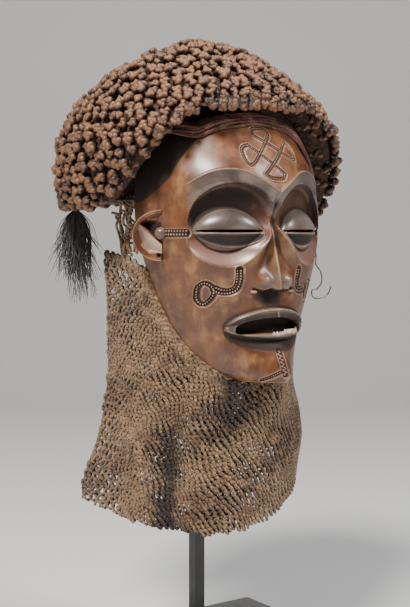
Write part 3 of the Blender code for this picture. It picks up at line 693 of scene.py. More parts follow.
def sweep(path, lift, radius, sides, twist=None):
    """Rings round a path. lift points roughly out of the surface that the path lies on;
    twist is the phase of a two-ply cord's two lobes along the path."""
    along = unit(np.gradient(path, axis=0))
    across = unit(np.cross(along, lift))
    up = np.cross(across, along)
    turn = np.arange(sides) * 2 * math.pi / sides
    reach = np.broadcast_to(np.reshape(radius, (-1, 1)), (len(path), sides))
    if twist is not None:
        reach = reach * (1 + PLY_DEPTH * np.cos(2 * (turn[None, :] - twist[:, None])))
    turn = turn[None, :, None]
    ring = across[:, None, :] * np.cos(turn) + up[:, None, :] * np.sin(turn)
    return path[:, None, :] + ring * reach[..., None]


class Batch:
    """Many small closed meshes gathered into one piece, with three numbers a point."""

    def __init__(self):
        self.points, self.faces, self.values, self.count = [], [], [], 0

    def add(self, points, faces, values):
        self.points.append(points.reshape(-1, 3))
        self.faces.append(np.asarray(faces) + self.count)
        self.values.append(np.broadcast_to(values, (points.size // 3, 3)))
        self.count += points.size // 3

    def add_tube(self, rings, values):
        """Closed tube, whose ends are drawn together into a point."""
        count, sides = rings.shape[:2]
        ends = np.repeat(rings[[0, -1]].mean(axis=1, keepdims=True), sides, axis=1)
        rings = np.concatenate([ends[:1], rings, ends[1:]])
        values = np.asarray(values, float)
        if values.ndim == 2:
            values = np.repeat(np.concatenate([values[:1], values, values[-1:]]), sides, axis=0)
        self.add(rings, ring_faces(count + 2, sides), values)

    def piece(self, name, finish, slot, attribute):
        faces = np.concatenate(self.faces)
        points = np.concatenate(self.points)
        new = add_mesh(name, points, faces.tolist(), finish, None, False)
        set_points(new, attribute, np.concatenate(self.values))
        return new


# Materials


class Finish:
    """Principled material with short calls for the nodes that colour and dent it."""

    def __init__(self, name, roughness, **constants):
        self.material = bpy.data.materials.new(name)
        self.material.use_nodes = True
        self.tree = self.material.node_tree
        self.shader = self.tree.nodes["Principled BSDF"]
        self.shader.inputs["Roughness"].default_value = roughness
        for socket, value in constants.items():
            self.shader.inputs[socket.replace("_", " ")].default_value = value
        self.place = self.node("ShaderNodeTexCoord").outputs["Object"]

    def node(self, kind, **settings):
        new = self.tree.nodes.new(kind)
        for key, value in settings.items():
            setattr(new, key, value)
        return new

    def link(self, value, socket):
        if isinstance(value, bpy.types.NodeSocket):
            self.tree.links.new(value, socket)
        elif isinstance(value, tuple) and len(value) == 3 and socket.type == "RGBA":
            socket.default_value = (*value, 1.0)
        else:
            socket.default_value = value

    def stretched(self, scale):
        mapping = self.node("ShaderNodeMapping")
        self.link(self.place, mapping.inputs["Vector"])
        mapping.inputs["Scale"].default_value = scale
        return mapping.outputs["Vector"]

    def noise(self, scale, detail=4.0, roughness=0.55, vector=None, distortion=0.0):
        new = self.node("ShaderNodeTexNoise")
        self.link(vector or self.place, new.inputs["Vector"])
        new.inputs["Scale"].default_value = scale
        new.inputs["Detail"].default_value = detail
        new.inputs["Roughness"].default_value = roughness
        new.inputs["Distortion"].default_value = distortion
        return new.outputs["Fac"]

    def cells(self, scale, vector=None, feature="F1"):
        new = self.node("ShaderNodeTexVoronoi", feature=feature)
        self.link(vector or self.place, new.inputs["Vector"])
        new.inputs["Scale"].default_value = scale
        return new.outputs["Distance"]

    def maths(self, operation, a, b=0.0):
        new = self.node("ShaderNodeMath", operation=operation)
        self.link(a, new.inputs[0])
        self.link(b, new.inputs[1])
        return new.outputs[0]

    def spread(self, value, low, high, to_low=0.0, to_high=1.0):
        """value from low to high taken to another range, and held at its ends."""
        new = self.node("ShaderNodeMapRange", interpolation_type="SMOOTHSTEP")
        self.link(value, new.inputs["Value"])
        numbers = {"From Min": low, "From Max": high, "To Min": to_low, "To Max": to_high}
        for socket, number in numbers.items():
            new.inputs[socket].default_value = number
        return new.outputs["Result"]

    def mix(self, share, a, b, blend="MIX"):
        new = self.node("ShaderNodeMix", data_type="RGBA", blend_type=blend)
        self.link(share, new.inputs["Factor"])
        self.link(a, new.inputs[6])
        self.link(b, new.inputs[7])
        return new.outputs[2]

    def over(self, colour, value, low, high, share, other):
        """Another colour laid over this one, up to a share, as value goes from low to high."""
        return self.mix(self.spread(value, low, high, 0, share), colour, other)

    def values(self, attribute):
        """The three numbers that set_points gave to each point."""
        new = self.node("ShaderNodeAttribute", attribute_name=attribute)
        parts = self.node("ShaderNodeSeparateXYZ")
        self.link(new.outputs["Vector"], parts.inputs[0])
        return parts.outputs["X"], parts.outputs["Y"], parts.outputs["Z"]

    def dent(self, height, strength, distance, under=None):
        bump = self.node("ShaderNodeBump")
        bump.inputs["Strength"].default_value = strength
        bump.inputs["Distance"].default_value = distance
        self.link(height, bump.inputs["Height"])
        if under is not None:
            self.link(under, bump.inputs["Normal"])
        return bump.outputs["Normal"]

    def finish(self, colour, roughness=None, normal=None):
        self.link(colour, self.shader.inputs["Base Color"])
        if roughness is not None:
            self.link(roughness, self.shader.inputs["Roughness"])
        if normal is not None:
            self.link(normal, self.shader.inputs["Normal"])
        return self.material


def carved_wood(name):
    """Oiled wood: grain up the face, greyish polished brow band, lids and lips, dark recesses
    and light rubbed edges; its second number also adds painted shade and its first painted highlight."""
    look = Finish(name, 0.36, Coat_Weight=0.22, Coat_Roughness=0.2)
    grain = look.noise(90, 6, 0.62, look.stretched((1.0, 1.0, 0.16)), 0.4)
    blotch = look.noise(24, 5, 0.6, None, 0.6)
    patch = look.noise(55, 4, 0.55)
    stain = look.noise(38, 5, 0.65, None, 1.2)
    wear_and_highlight, dirt_and_shade, zone = look.values("surface")
    grey = look.spread(zone, 0.0, 1.0)
    pink = look.spread(zone, 0.0, -1.0, 0, 0.85)
    polished = look.mix(look.spread(blotch, 0.35, 0.65), (0.06, 0.042, 0.034), (0.18, 0.137, 0.112))
    worn_and_lit = look.mix(pink, (0.43, 0.27, 0.165), (0.62, 0.5, 0.39))
    worn_and_lit_share = look.spread(patch, 0.3, 0.55, 0.35, 0.9)
    colour = look.mix(look.spread(blotch, 0.34, 0.66), (0.085, 0.028, 0.012), (0.205, 0.076, 0.027))
    colour = look.over(colour, patch, 0.48, 0.68, 0.65, (0.34, 0.17, 0.058))
    colour = look.over(colour, stain, 0.54, 0.74, 0.65, (0.045, 0.014, 0.007))
    colour = look.over(colour, grain, 0.42, 0.62, 0.5, (0.058, 0.017, 0.008))
    colour = look.mix(grey, colour, polished)
    colour = look.mix(pink, colour, (0.235, 0.125, 0.095))
    # Grime in the recesses, and painted shade in the sockets, on the lower lids, under the nose and lips,
    # inside the mouth, above the hairline and in the ears' pits
    colour = look.over(colour, dirt_and_shade, 0.1, 0.85, 0.94, (0.01, 0.005, 0.004))
    # Worn light edges, and painted highlight on the ears' shells
    colour = look.mix(look.maths("MULTIPLY", look.spread(wear_and_highlight, 0.12, 0.9), worn_and_lit_share), colour, worn_and_lit)
    roughness = look.mix(grey, look.spread(blotch, 0.3, 0.7, 0.28, 0.44), (0.31, 0.31, 0.31))
    roughness = look.mix(look.spread(dirt_and_shade, 0.1, 0.6), roughness, (0.8, 0.8, 0.8))
    look.link(look.spread(dirt_and_shade, 0.1, 0.5, 0.22, 0.0), look.shader.inputs["Coat Weight"])
    tool_marks = look.cells(150, look.stretched((1.0, 1.0, 0.7)), "SMOOTH_F1")
    normal = look.dent(grain, 0.22, 0.0003, look.dent(tool_marks, 0.12, 0.0006))
    return look.finish(colour, roughness, normal)


def pale_wood(name):
    """Rubbed wood of the teeth."""
    look = Finish(name, 0.45)
    stain = look.noise(420, 4, 0.6)
    colour = look.mix(look.spread(stain, 0.4, 0.68), (0.61, 0.5, 0.35), (0.33, 0.21, 0.12))
    return look.finish(colour, None, look.dent(stain, 0.3, 0.0003))


def knotted_fibre(name):
    """Fibre coated in red earth and oil, with painted shade at the root and painted highlight on the tips.
    """
    look = Finish(name, 0.56, Coat_Weight=0.12, Coat_Roughness=0.35)
    tip, shade, _ = look.values("strand")
    fine = look.noise(900, 5, 0.65)
    earth = look.noise(210, 4, 0.6)
    colour = look.mix(shade, (0.048, 0.015, 0.006), (0.225, 0.088, 0.034))
    colour = look.over(colour, earth, 0.45, 0.72, 0.5, (0.31, 0.15, 0.066))
    # Painted highlight on the knots' tips, and painted shade on their inner sides, on the stems and in the
    # gaps between knots
    colour = look.over(colour, tip, 0.72, 1.0, 0.42, (0.44, 0.235, 0.12))
    colour = look.over(colour, tip, 0.9, 0.36, 1.0, (0.01, 0.004, 0.002))
    colour = look.mix(look.spread(fine, 0.35, 0.65, 0.45, 0), colour, (0.06, 0.025, 0.018))
    normal = look.dent(earth, 0.5, 0.001, look.dent(fine, 0.55, 0.0005))
    return look.finish(colour, look.spread(earth, 0.3, 0.7, 0.66, 0.44), normal)


def spun_cord(name, dark, light, ply=True):
    """Two-ply cord: its first number runs along the ply, its second is a chance shade
    with painted light where the net's rows gather, and its third is painted shade for how deep the place
    lies in the stitch."""
    look = Finish(name, 0.8, Sheen_Weight=0.2, Sheen_Roughness=0.5)
    along, shade, depth = look.values("strand")
    fine = look.noise(1300, 4, 0.6)
    dust = look.noise(120, 4, 0.6)
    colour = look.mix(shade, dark, light)
    colour = look.over(colour, dust, 0.45, 0.7, 0.6, tuple(min(1.0, 1.7 * c) for c in light))
    colour = look.mix(look.spread(fine, 0.3, 0.62, 0.55, 0), colour, tuple(0.35 * c for c in dark))
    # Painted shade: darker where the cord lies deep in the stitch, in the fold and behind the chin
    colour = look.over(colour, depth, 0.06, 0.7, 0.94, tuple(0.1 * c for c in dark))
    normal = look.dent(fine, 0.6, 0.0004)
    if ply:
        twist = look.maths("SINE", look.maths("MULTIPLY", along, 2 * math.pi))
        normal = look.dent(twist, 0.75, 0.0005, normal)
    return look.finish(colour, None, normal)


def matted_fibre(name):
    """Inside and core of the coiffure: looped fibre in rows, dark with old oil."""
    look = Finish(name, 0.85)
    loops = look.cells(260, look.stretched((1.0, 1.0, 1.25)))
    fine = look.noise(700, 5, 0.6)
    colour = look.mix(look.spread(loops, 0.0, 0.75), (0.1, 0.045, 0.028), (0.016, 0.007, 0.005))
    colour = look.over(colour, fine, 0.4, 0.7, 0.5, (0.13, 0.07, 0.045))
    normal = look.dent(loops, -0.8, 0.0016)
    return look.finish(colour, None, look.dent(fine, 0.5, 0.0005, normal))


def dark_strand(name):
    look = Finish(name, 0.55, Sheen_Weight=0.1, Sheen_Roughness=0.4)
    _, shade, _ = look.values("strand")
    fine = look.noise(600, 4, 0.6)
    colour = look.mix(shade, (0.012, 0.011, 0.011), (0.12, 0.113, 0.108))
    colour = look.over(colour, fine, 0.4, 0.7, 0.6, (0.15, 0.14, 0.13))
    return look.finish(colour, None, look.dent(fine, 0.4, 0.0003))


def tarnished_iron(name):
    look = Finish(name, 0.42, Metallic=0.85)
    rust = look.noise(420, 5, 0.6)
    colour = look.mix(look.spread(rust, 0.42, 0.62), (0.33, 0.3, 0.27), (0.12, 0.06, 0.035))
    return look.finish(colour, look.spread(rust, 0.4, 0.65, 0.34, 0.7), look.dent(rust, 0.35, 0.0002))


def painted_steel(name):
    """Black stove enamel with an orange-peel surface and a few rubbed spots."""
    look = Finish(name, 0.38, Metallic=0.0, Coat_Weight=0.2, Coat_Roughness=0.3)
    peel = look.noise(520, 3, 0.5)
    rubbed = look.noise(60, 6, 0.7)
    colour = look.mix(look.spread(rubbed, 0.6, 0.78), (0.0075, 0.0075, 0.008), (0.024, 0.023, 0.022))
    roughness = look.spread(rubbed, 0.35, 0.75, 0.32, 0.52)
    return look.finish(colour, roughness, look.dent(peel, 0.1, 0.0003))


def lacquered_wood(name):
    """Black lacquer over close grain, with fine scratches from dusting."""
    look = Finish(name, 0.32, Coat_Weight=0.35, Coat_Roughness=0.18)
    grain = look.noise(260, 5, 0.6, look.stretched((0.06, 1.0, 1.0)))
    dust = look.noise(35, 6, 0.7)
    scratches = look.noise(900, 3, 0.6, look.stretched((0.25, 0.02, 1.0)))
    colour = look.mix(look.spread(dust, 0.5, 0.8), (0.008, 0.0078, 0.0078), (0.02, 0.019, 0.018))
    roughness = look.spread(scratches, 0.5, 0.75, 0.28, 0.46)
    return look.finish(colour, roughness, look.dent(grain, 0.14, 0.0002))


def pale_paper(name):
    look = Finish(name, 0.9)
    colour = look.mix(look.noise(3, 3, 0.5), (0.76, 0.755, 0.745), (0.8, 0.795, 0.785))
    return look.finish(colour)


# Wooden face


def face_rows():
    """Heights of the face's rows, and how far each has gone back from the front to the
    rim: the first and last rows close the underside of the chin and the crown."""
    z = steps(FACE_ROWS)
    end = np.linspace(1, 0, FACE_END_ROWS, endpoint=False)
    z = np.concatenate([end * 0 + z[0], z, end * 0 + z[-1]])
    closing = np.zeros(len(z))
    closing[:FACE_END_ROWS] = end
    closing[-FACE_END_ROWS:] = end[::-1]
    return z, closing


def bulge_of(grid, reach):
    """How far each point stands out of the mean of the points a few steps away."""
    padded = np.pad(grid, ((reach, reach), (reach, reach), (0, 0)), mode="edge")
    rows, columns = grid.shape[:2]

    def moved(down, over):
        return padded[down * reach : down * reach + rows, over * reach : over * reach + columns]

    offsets = ((0, 1), (2, 1), (1, 0), (1, 2), (0, 0), (0, 2), (2, 0), (2, 2))
    away = grid - sum(moved(*offset) for offset in offsets) / len(offsets)
    out = unit(np.cross(moved(1, 2) - moved(1, 0), moved(2, 1) - moved(0, 1)))
    out *= np.sign(-out[..., 1:2] + TINY)
    return (away * out).sum(axis=-1)


def wood_zones(x, z):
    """1 on the greyish polished brow band, lids and lips, -1 on the pale crescents
    under the eyes."""
    side = np.abs(x)
    below = below_brow(side, z)
    socket = socket_inside(side, z)
    brow = ease(below, -0.0005, 0.0008) * (1 - ease(socket, 0.05, 0.22)) * ease(z, 0.004, 0.018)
    brow = brow * (1 - ease(side, 0.06, 0.071))
    _, almond, up = lid_place(side, z)
    lids = (almond > 0) * (1 - ease(up, 0.98, 1.06))
    lips = ease(lip_height(side, z), 0.001, 0.003)
    crescent = ease(socket, 0.02, 0.1) * ease(-z, 0.004, 0.012) * (1 - lids)
    nose = 0.6 * ease(nose_height(side, z), 0.004, 0.009) * ease(-z, 0.012, 0.03)
    return np.maximum(np.maximum(0.85 * brow, lids), np.maximum(0.8 * lips, nose)) - crescent * (1 - lips)


def face_paint(outer):
    """Worn edges, grime and painted shade, and zone of each point of the face's outer side."""
    x, depth, z = np.moveaxis(outer, -1, 0)
    side = np.abs(x)
    edge, broad = bulge_of(outer, 1), bulge_of(outer, 4)
    wear_and_highlight = np.clip(edge / 0.00013, 0, 1) * 0.55 + np.clip(broad / 0.0016, 0, 1) * 0.15
    dirt_and_shade = np.clip(-broad / 0.0016, 0, 1) * 0.7 + np.clip(-edge / 0.00016, 0, 1) * 0.4

    # Eyes: painted shade in the sockets above the lids, stronger outward and on the mask's right, and on
    # the lower lids below the slits, stronger toward the nose; light round the lids
    _, almond, up = lid_place(side, z)
    on_lid = (almond > 0) * (1 - ease(up, 0.97, 1.03))
    above_lid = ease(socket_inside(side, z), 0.06, 0.3) * ease(z, -0.002, 0.008) * (1 - on_lid)
    outward = ease(side + 0.8 * z, 0.022, 0.058)
    above_lid = above_lid * np.where(x < 0, 0.5 + 0.48 * outward, 0.34 + 0.28 * outward)
    below_slit = on_lid * ease(-z, 0.0002, 0.004) * ease(1 - up, 0.02, 0.25)
    below_slit = below_slit * (0.72 + 0.26 * ease(EYE_PLACE - side - z, -0.01, 0.02))
    brow_to_lid = ease(below_brow(side, z), 0.002, 0.004) * ease(z, 0.0, 0.01)
    above_slit = on_lid * between(z, (0.0002, 0.001), (0.0028, 0.0042))
    lid_line = bell(up, 1, 0.035) * ease(almond, 0.02, 0.1)
    under_slit = on_lid * bell(z, -0.0016, 0.0006) * ease(1 - up, 0.0, 0.1)

    # Nose and lips: painted shadow under the nose and under the lower lip, and painted shade on the upper
    # lip's inner half
    philtrum = bell(x, -0.004, 0.015, 3) * ease(NOSE_END - z, -0.0022, 0.0008)
    philtrum = philtrum * ease(z, -0.0675, -0.054)
    hook = bell(side, NOSTRIL_HOOK[0], 0.003, 4) * bell(z, NOSTRIL_HOOK[1], 0.0011, 4)
    keel = bell(x, 0, 0.0012) * ease(-z, 0.006, 0.016) * ease(z, NOSE_END, NOSE_END + 0.003)
    lips = lip_height(side, z)
    lip_ridge = bell(x, 0.001, 0.0006) * ease(lips, 0.002, 0.004)
    down = lips_meet(x) - z
    high_reach, low_reach = lip_reach(x, True, 1e-4), lip_reach(x, False, 1e-4)
    # Painted shadow under the lower lip
    end = low_reach + UNDER_LIP * np.sqrt(low_reach / LOWER_LIP)
    under_lip = between(down, (0.62 * low_reach, 0.86 * low_reach), (end - 0.004, end))
    under_lip = under_lip * (side < MOUTH_HALF_WIDTH)
    # Painted shade on the upper lip's inner half, near the opening
    upper_lip = ease(lips, 0.001, 0.003) * (1 - lip_ridge)
    upper_lip = upper_lip * between(-down, (0.001, 0.003), (0.55 * high_reach, 0.95 * high_reach))

    # Painted shadow of the ear's pit on the cheek, and painted shadow of the coiffure above the hairline,
    # with a knobbly edge
    half_turn = math.sqrt(0.5)
    behind = (depth - EAR_PLACE[1] - side + EAR_PLACE[0]) * half_turn
    along = behind + 2 * (side - EAR_PLACE[0]) * half_turn
    above, shelf = ear_pit(along, z - EAR_PLACE[2])
    pit = ease(above, -0.0002, 0.0006) * shelf * ease(along, -0.0002, 0.0012) * (along < 0.02)
    hairline = z - smooth_through(HAIR_SHADOW_LINE, x) - 0.0022 * np.abs(np.sin((x - z) / 0.0046))

    wear_and_highlight = wear_and_highlight * (1 - 0.95 * brow_to_lid) * (1 - 0.9 * above_slit)
    for share, light in ((0.42, lid_line), (0.85, under_slit), (1, hook), (0.6, lip_ridge), (0.8, keel)):
        wear_and_highlight = np.maximum(wear_and_highlight, share * light)
    wear_and_highlight = wear_and_highlight * (1 - 0.85 * under_lip) * (1 - 0.75 * upper_lip) * (1 - ease(hairline, -0.004, 0.002))
    dark = ((1, above_lid), (1, below_slit), (0.88, philtrum), (0.74, under_lip), (0.7, upper_lip))
    for share, place in dark:
        dirt_and_shade = np.maximum(dirt_and_shade, share * place)
    dirt_and_shade = dirt_and_shade * (1 - 0.9 * under_slit) * (1 - hook)
    deep, fine = bands_edge(x, z)
    sunk = np.maximum(ease(-deep, 0.0, 0.0007), 0.92 * ease(-fine, 0.0001, 0.0006))
    # Painted shade inside the mouth's opening
    opening = ease(-lips, 0.001, 0.004)
    dark = ((0.97, pit), (0.88, ease(hairline, -0.0015, 0.0025)), (0.95, sunk), (0.8, opening))
    for share, place in dark:
        dirt_and_shade = np.maximum(dirt_and_shade, share * place)
    return numbers(np.clip(wear_and_highlight - sunk, 0, 1), np.clip(dirt_and_shade, 0, 1), wood_zones(x, z))


def build_face(wood):
    columns = np.linspace(-1, 1, FACE_COLUMNS + 1)
    columns = np.sin(math.pi / 2 * (0.72 * columns + 0.28 * columns**3))
    rows, closing = face_rows()
    across, z = np.meshgrid(columns, rows)
    closing = np.repeat(closing[:, None], len(columns), axis=1)
    outer = face_point(across, z, closing)
    step = (slice(None, None, INSIDE_STEP),) * 2
    inner = inside_point(across[step], z[step], closing[step])
    points, faces = shell(outer, inner)
    face = add_mesh("wooden_face_carving", points, faces, wood, 62)
    inside = np.tile(INSIDE_PAINT, (inner.size // 3, 1))
    set_points(face, "surface", np.concatenate([face_paint(outer).reshape(-1, 3), inside]))
    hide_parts("wooden_face")


def small_sphere(rings=4, sides=8):
    """Points and faces of a small round bead of radius 1."""
    turn = np.arange(sides) * 2 * math.pi / sides
    tilt = np.linspace(0, math.pi, rings + 1)[:, None]
    points = numbers(np.sin(tilt) * np.cos(turn), np.sin(tilt) * np.sin(turn), np.cos(tilt))
    return points, ring_faces(rings + 1, sides)


def beads_along(batch, path, pitch, size, rows=(0.0,)):
    """Round beads along a path in the plane of x and z, in rows beside it."""
    sphere, faces = small_sphere()
    along = unit(np.gradient(path, axis=0))
    beside = np.stack([-along[:, 1], along[:, 0]], axis=1)
    for offset in rows:
        flat = path + beside * offset
        run = run_along(on_face(flat[:, 0], flat[:, 1]))
        count = max(2, int(run[-1] / pitch) + 1)
        spots = np.linspace(pitch * 0.3, run[-1] - pitch * 0.3, count)
        x, z = (np.interp(spots, run, column) for column in flat.T)
        for spot in on_face(x, z):
            grown = size * random.uniform(0.85, 1.12)
            spot = spot + np.array([0, BEAD_SUNK * size, 0])
            batch.add(spot + sphere * grown, faces, BEAD_PAINT)


def build_beads(wood):
    """Beads carved in the sunken bands, and the chin's zigzag."""
    batch = Batch()
    tear = smooth_path(TEAR_BAND, 80)
    ring = smooth_path(TEAR_RING, 120, True)
    temple = np.linspace(*TEMPLE_BAND, 40)
    for side, inward in ((1, TEAR_LEFT_INWARD), (-1, 0.0)):
        beads_along(batch, (tear - (inward, 0)) * (side, 1), BEAD_PITCH, BEAD_SIZE, TEAR_ROWS)
        beads_along(batch, (ring - (inward, 0)) * (side, 1), BEAD_PITCH, BEAD_SIZE)
        beads_along(batch, temple * (side, 1), 1.2 * BEAD_PITCH, 1.2 * BEAD_SIZE, TEMPLE_ROWS)
    fine = [(np.linspace(*stroke, 60), 0.0017) for stroke in FOREHEAD_STROKES]
    fine += [(smooth_path(arc, 60), 0.0017) for arc in FOREHEAD_ARCS]
    fine += [(np.linspace(*side_band, 40), 0.002) for side_band in CHIN_SIDES]
    for path, pitch in fine:
        beads_along(batch, path, pitch, FINE_BEAD_SIZE)
    width, turns, pitch, size = CHIN_ZIGZAG
    sway = width * (2 / math.pi) * np.arcsin(np.sin(np.linspace(0, turns * math.pi, 200)))
    zigzag = np.linspace(*CHIN_BAND, 200) + np.stack([sway, sway * 0], axis=1)
    beads_along(batch, zigzag, pitch, size)
    batch.piece("carved_beads", wood, "carved_wood", "surface")


def build_teeth(finish):
    """Small pointed teeth along the lower edge of the mouth's opening."""
    batch = Batch()
    width, depth, height = TOOTH_SIZE
    for x in np.arange(TEETH_RIGHT, TEETH_LEFT, TOOTH_PITCH):
        reach = OPENING[1] * (1 - (x / OPENING[0]) ** 2) ** OPENING_END
        gum = lips_meet(x) - OPENING_BELOW - reach
        lip = on_face(np.array([x]), np.array([gum - 0.0012]))[0]
        foot = np.array([x, lip[1] + 0.0018, gum - 0.001])
        sizes = np.array([1.0, 1.0, 0.72, 0.15]) * random.uniform(0.85, 1.1)
        turn = np.arange(8) * math.pi / 4
        tall = height * (0.8 + 0.35 * (x > 0.006))
        rings = [
            foot + numbers(width * size * np.cos(turn), depth * size * np.sin(turn), tall * share)
            for share, size in zip((0.0, 0.35, 0.7, 1.0), sizes)
        ]
        batch.add_tube(np.array(rings), (1.0, 0.0, 0.0))
    batch.piece("carved_teeth", finish, "carved_wood", "surface")


def ear_pit(along, up):
    """Distance above the slanting edge of the ear's shell, and how far a place lies
    below the shelf under the rim."""
    above = (up - 0.0091 - (along - 0.0175) * 0.894) * 0.745
    return above, ease(0.0125 - up, 0.0, 0.0035)


def ear_curl(along, up):
    """How far out a place lies, 1 on the rim; the rim is broad below and at the lobe."""
    ring = np.hypot(along / EAR_REACH, up / EAR_HALF_HEIGHT)
    lobe = 0.1 * ease(-up, 0.006, 0.014) * ease(0.012 - along, 0.0, 0.008)
    return ring + 0.07 * ease(0.006 - up, 0.0, 0.01) + lobe


def ear_depth(along, up):
    """Depth of the ear's front behind its rim: a dark pit above a slanting shell."""
    above, shelf = ear_pit(along, up)
    lower = 0.0008 + 0.0046 * ease(-above, 0.0, 0.011)
    upper = 0.0095 * ease(above, -0.0001, 0.0007) * (0.25 + 0.75 * shelf)
    inside = 1 - ease(ear_curl(along, up), 0.8, 0.88)
    side, level = EAR_HOLE
    return np.maximum(lower, upper) * inside + 0.004 * bell(along, side, 0.0013) * bell(up, level, 0.0014)


def ear_grid(reach, turn):
    """How far out from the head and how far up each place of an ear lies."""
    return EAR_REACH * reach * np.cos(turn), EAR_HALF_HEIGHT * reach * np.sin(turn)


def ear_points(side, reach, turn, back):
    along, up = ear_grid(reach, turn)
    depth = ear_depth(along, up)
    if back:
        depth = 0.0022 + 0.0112 * np.maximum(0, 1 - reach**2) ** 0.36
        along, up = along * 0.975, up * 0.975
    x = EAR_PLACE[0] + (along - depth) * math.sqrt(0.5)
    y = EAR_PLACE[1] + (along + depth) * math.sqrt(0.5)
    return numbers(side * x, y, EAR_PLACE[2] + up)


def build_ear(name, side, wood):
    turn, reach = np.meshgrid(np.linspace(-0.5 * math.pi, 0.5 * math.pi, 73), np.linspace(0.02, 1.0, 41))
    points, faces = shell(*(ear_points(side, reach, turn, back) for back in (False, True)))
    ear = add_mesh(name, points, faces, wood, 55)
    along, up = ear_grid(reach, turn)
    above, shelf = ear_pit(along, up)
    curl = ear_curl(along, up)
    rim = ease(reach, 0.93, 0.985) * 0.65
    shell_part = ease(-above, 0.0002, 0.0012) * (1 - ease(curl, 0.8, 0.86))
    curled = bell(curl, 0.84, 0.025) * ease(-up, 0.005, 0.009)
    hole = bell(along, EAR_HOLE[0], 0.0019, 4) * bell(up, EAR_HOLE[1], 0.0022, 4)
    # Painted shade in the pit under the rim's shelf
    dark = ease(above, -0.0002, 0.0006) * shelf * (1 - ease(curl, 0.84, 0.9))
    # Painted highlight on the slanting shell, stronger low and toward the head
    pale = 0.3 + 0.6 * ease(0.006 - up, 0.0, 0.012) * ease(0.0185 - along, 0.0, 0.006)
    wear_and_highlight = np.clip(rim + shell_part * pale + curled, 0, 1) * (1 - hole)
    front = numbers(wear_and_highlight, np.maximum(dark, hole), -0.7 * shell_part).reshape(-1, 3)
    set_points(ear, "surface", np.concatenate([front, np.tile(EAR_BACK_PAINT, (reach.size, 1))]))


def build_tragus(name, side, wood):
    sphere, faces = small_sphere(14, 24)
    batch = Batch()
    middle = np.array(TRAGUS_PLACE) * (side, 1, 1)
    wear_and_highlight = ease(sphere[..., 2], -0.2, 0.9) * 0.35
    batch.add(middle + sphere * TRAGUS_SIZE, faces, numbers(wear_and_highlight, 0.0, 0.6).reshape(-1, 3))
    batch.piece(name, wood, "carved_wood", "surface")


# Coiffure


def hair_plan(angle, half_width, half_depth):
    """Radius of the coiffure's plan, a rounded square, at an angle from the front."""
    share = np.abs(np.sin(angle) / half_width) ** HAIR_SQUARENESS
    share = share + np.abs(np.cos(angle) / half_depth) ** HAIR_SQUARENESS
    return share ** (-1 / HAIR_SQUARENESS)


def hair_edge(angle):
    """Height of the coiffure's lower edge; it hangs lower on the mask's left."""
    turn = np.abs(np.degrees((angle + math.pi) % (2 * math.pi) - math.pi))
    drop = HAIR_FAR_DROP * ease(turn, 30, 60) * (1 - ease(turn, 110, 180))
    return smooth_through(HAIR_EDGE, turn) - np.where(np.sin(angle) > 0, drop, 0)


def hair_point(angle, z, inset):
    """Point of the coiffure's surface at an angle from the front and a height."""
    top = HAIR_TOP - inset
    rise = np.clip((z - HAIR_WIDEST) / (top - HAIR_WIDEST), 0, 1)
    spread = (1 - rise**HAIR_DOME) ** (1 / HAIR_DOME)
    spread = spread - 0.03 * (np.minimum(0, z - HAIR_WIDEST) / 0.05) ** 2
    reach = hair_plan(angle, HAIR_HALF_WIDTH - inset, HAIR_HALF_DEPTH - inset) * spread
    y = HAIR_MIDDLE - HAIR_TOP_FORWARD * rise - reach * np.cos(angle)
    return np.stack(np.broadcast_arrays(reach * np.sin(angle), y, z), axis=-1)


def hair_core_grid(inset, edge_rise):
    angle = np.arange(HAIR_AROUND) * 2 * math.pi / HAIR_AROUND
    top = HAIR_TOP - inset
    edge = hair_edge(angle) + edge_rise
    turn = np.linspace(0, 1, HAIR_DOWN + 1)[1:, None]
    z = top - (top - edge)[None, :] * (0.45 * turn**2 + 0.55 * turn)
    return hair_point(angle[None, :] + 0 * z, z, inset)


def build_hair_core(finish):
    """Netted cap that the knots are sewn to, as a closed dome."""
    points, faces, edges = [], [], []
    for inset, rise in ((HAIR_CORE_INSET, HAIR_CORE_RISE), (HAIR_WALL, HAIR_INSIDE_RISE)):
        grid = hair_core_grid(inset, rise)
        first = len(points)
        down, around = grid.shape[:2]
        points += [tuple(p) for p in grid.reshape(-1, 3)]
        points.append((0, HAIR_MIDDLE - HAIR_TOP_FORWARD, HAIR_TOP - inset))
        faces += ring_faces(down, around, first)
        crown = first + down * around
        faces += [(first + k, first + (k + 1) % around, crown) for k in range(around)]
        edges.append([first + (down - 1) * around + k for k in range(around)])
    core = add_mesh("coiffure_cap", points, faces + edge_faces(*edges), finish, 50)
    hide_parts("coiffure")


def knot_shape(seed):
    """Overhand knot of a thick strand, with a radius of about 1."""
    chance = np.random.default_rng(seed)
    t = np.arange(KNOT_STEPS) * 2 * math.pi / KNOT_STEPS
    knot = numbers(np.sin(t) + 2 * np.sin(2 * t), np.cos(t) - 2 * np.cos(2 * t), -1.5 * np.sin(3 * t))
    knot = knot / 3.0 * chance.uniform(0.85, 1.15, 3) * KNOT_SCALE
    knot = knot + chance.normal(0, 0.05, knot.shape)
    closed = np.concatenate([knot[-1:], knot, knot[:1]])
    radius = KNOT_STRAND * chance.uniform(0.84, 1.14, KNOT_STEPS + 2)
    rings = sweep(closed, unit(closed) + np.array([0, 0, 0.3]), radius, KNOT_SIDES)[1:-1]
    faces = ring_faces(KNOT_STEPS, KNOT_SIDES)
    last = (KNOT_STEPS - 1) * KNOT_SIDES
    for side in range(KNOT_SIDES):
        beyond = (side + 1) % KNOT_SIDES
        faces.append((last + side, last + beyond, beyond, side))
    return rings.reshape(-1, 3), faces


def turned_to(direction, spin):
    """Rotation that takes +Z to a direction after a spin about it."""
    aim = Vector(direction).to_track_quat("Z", "Y").to_matrix()
    return np.array(aim @ Matrix.Rotation(spin, 3, "Z"))


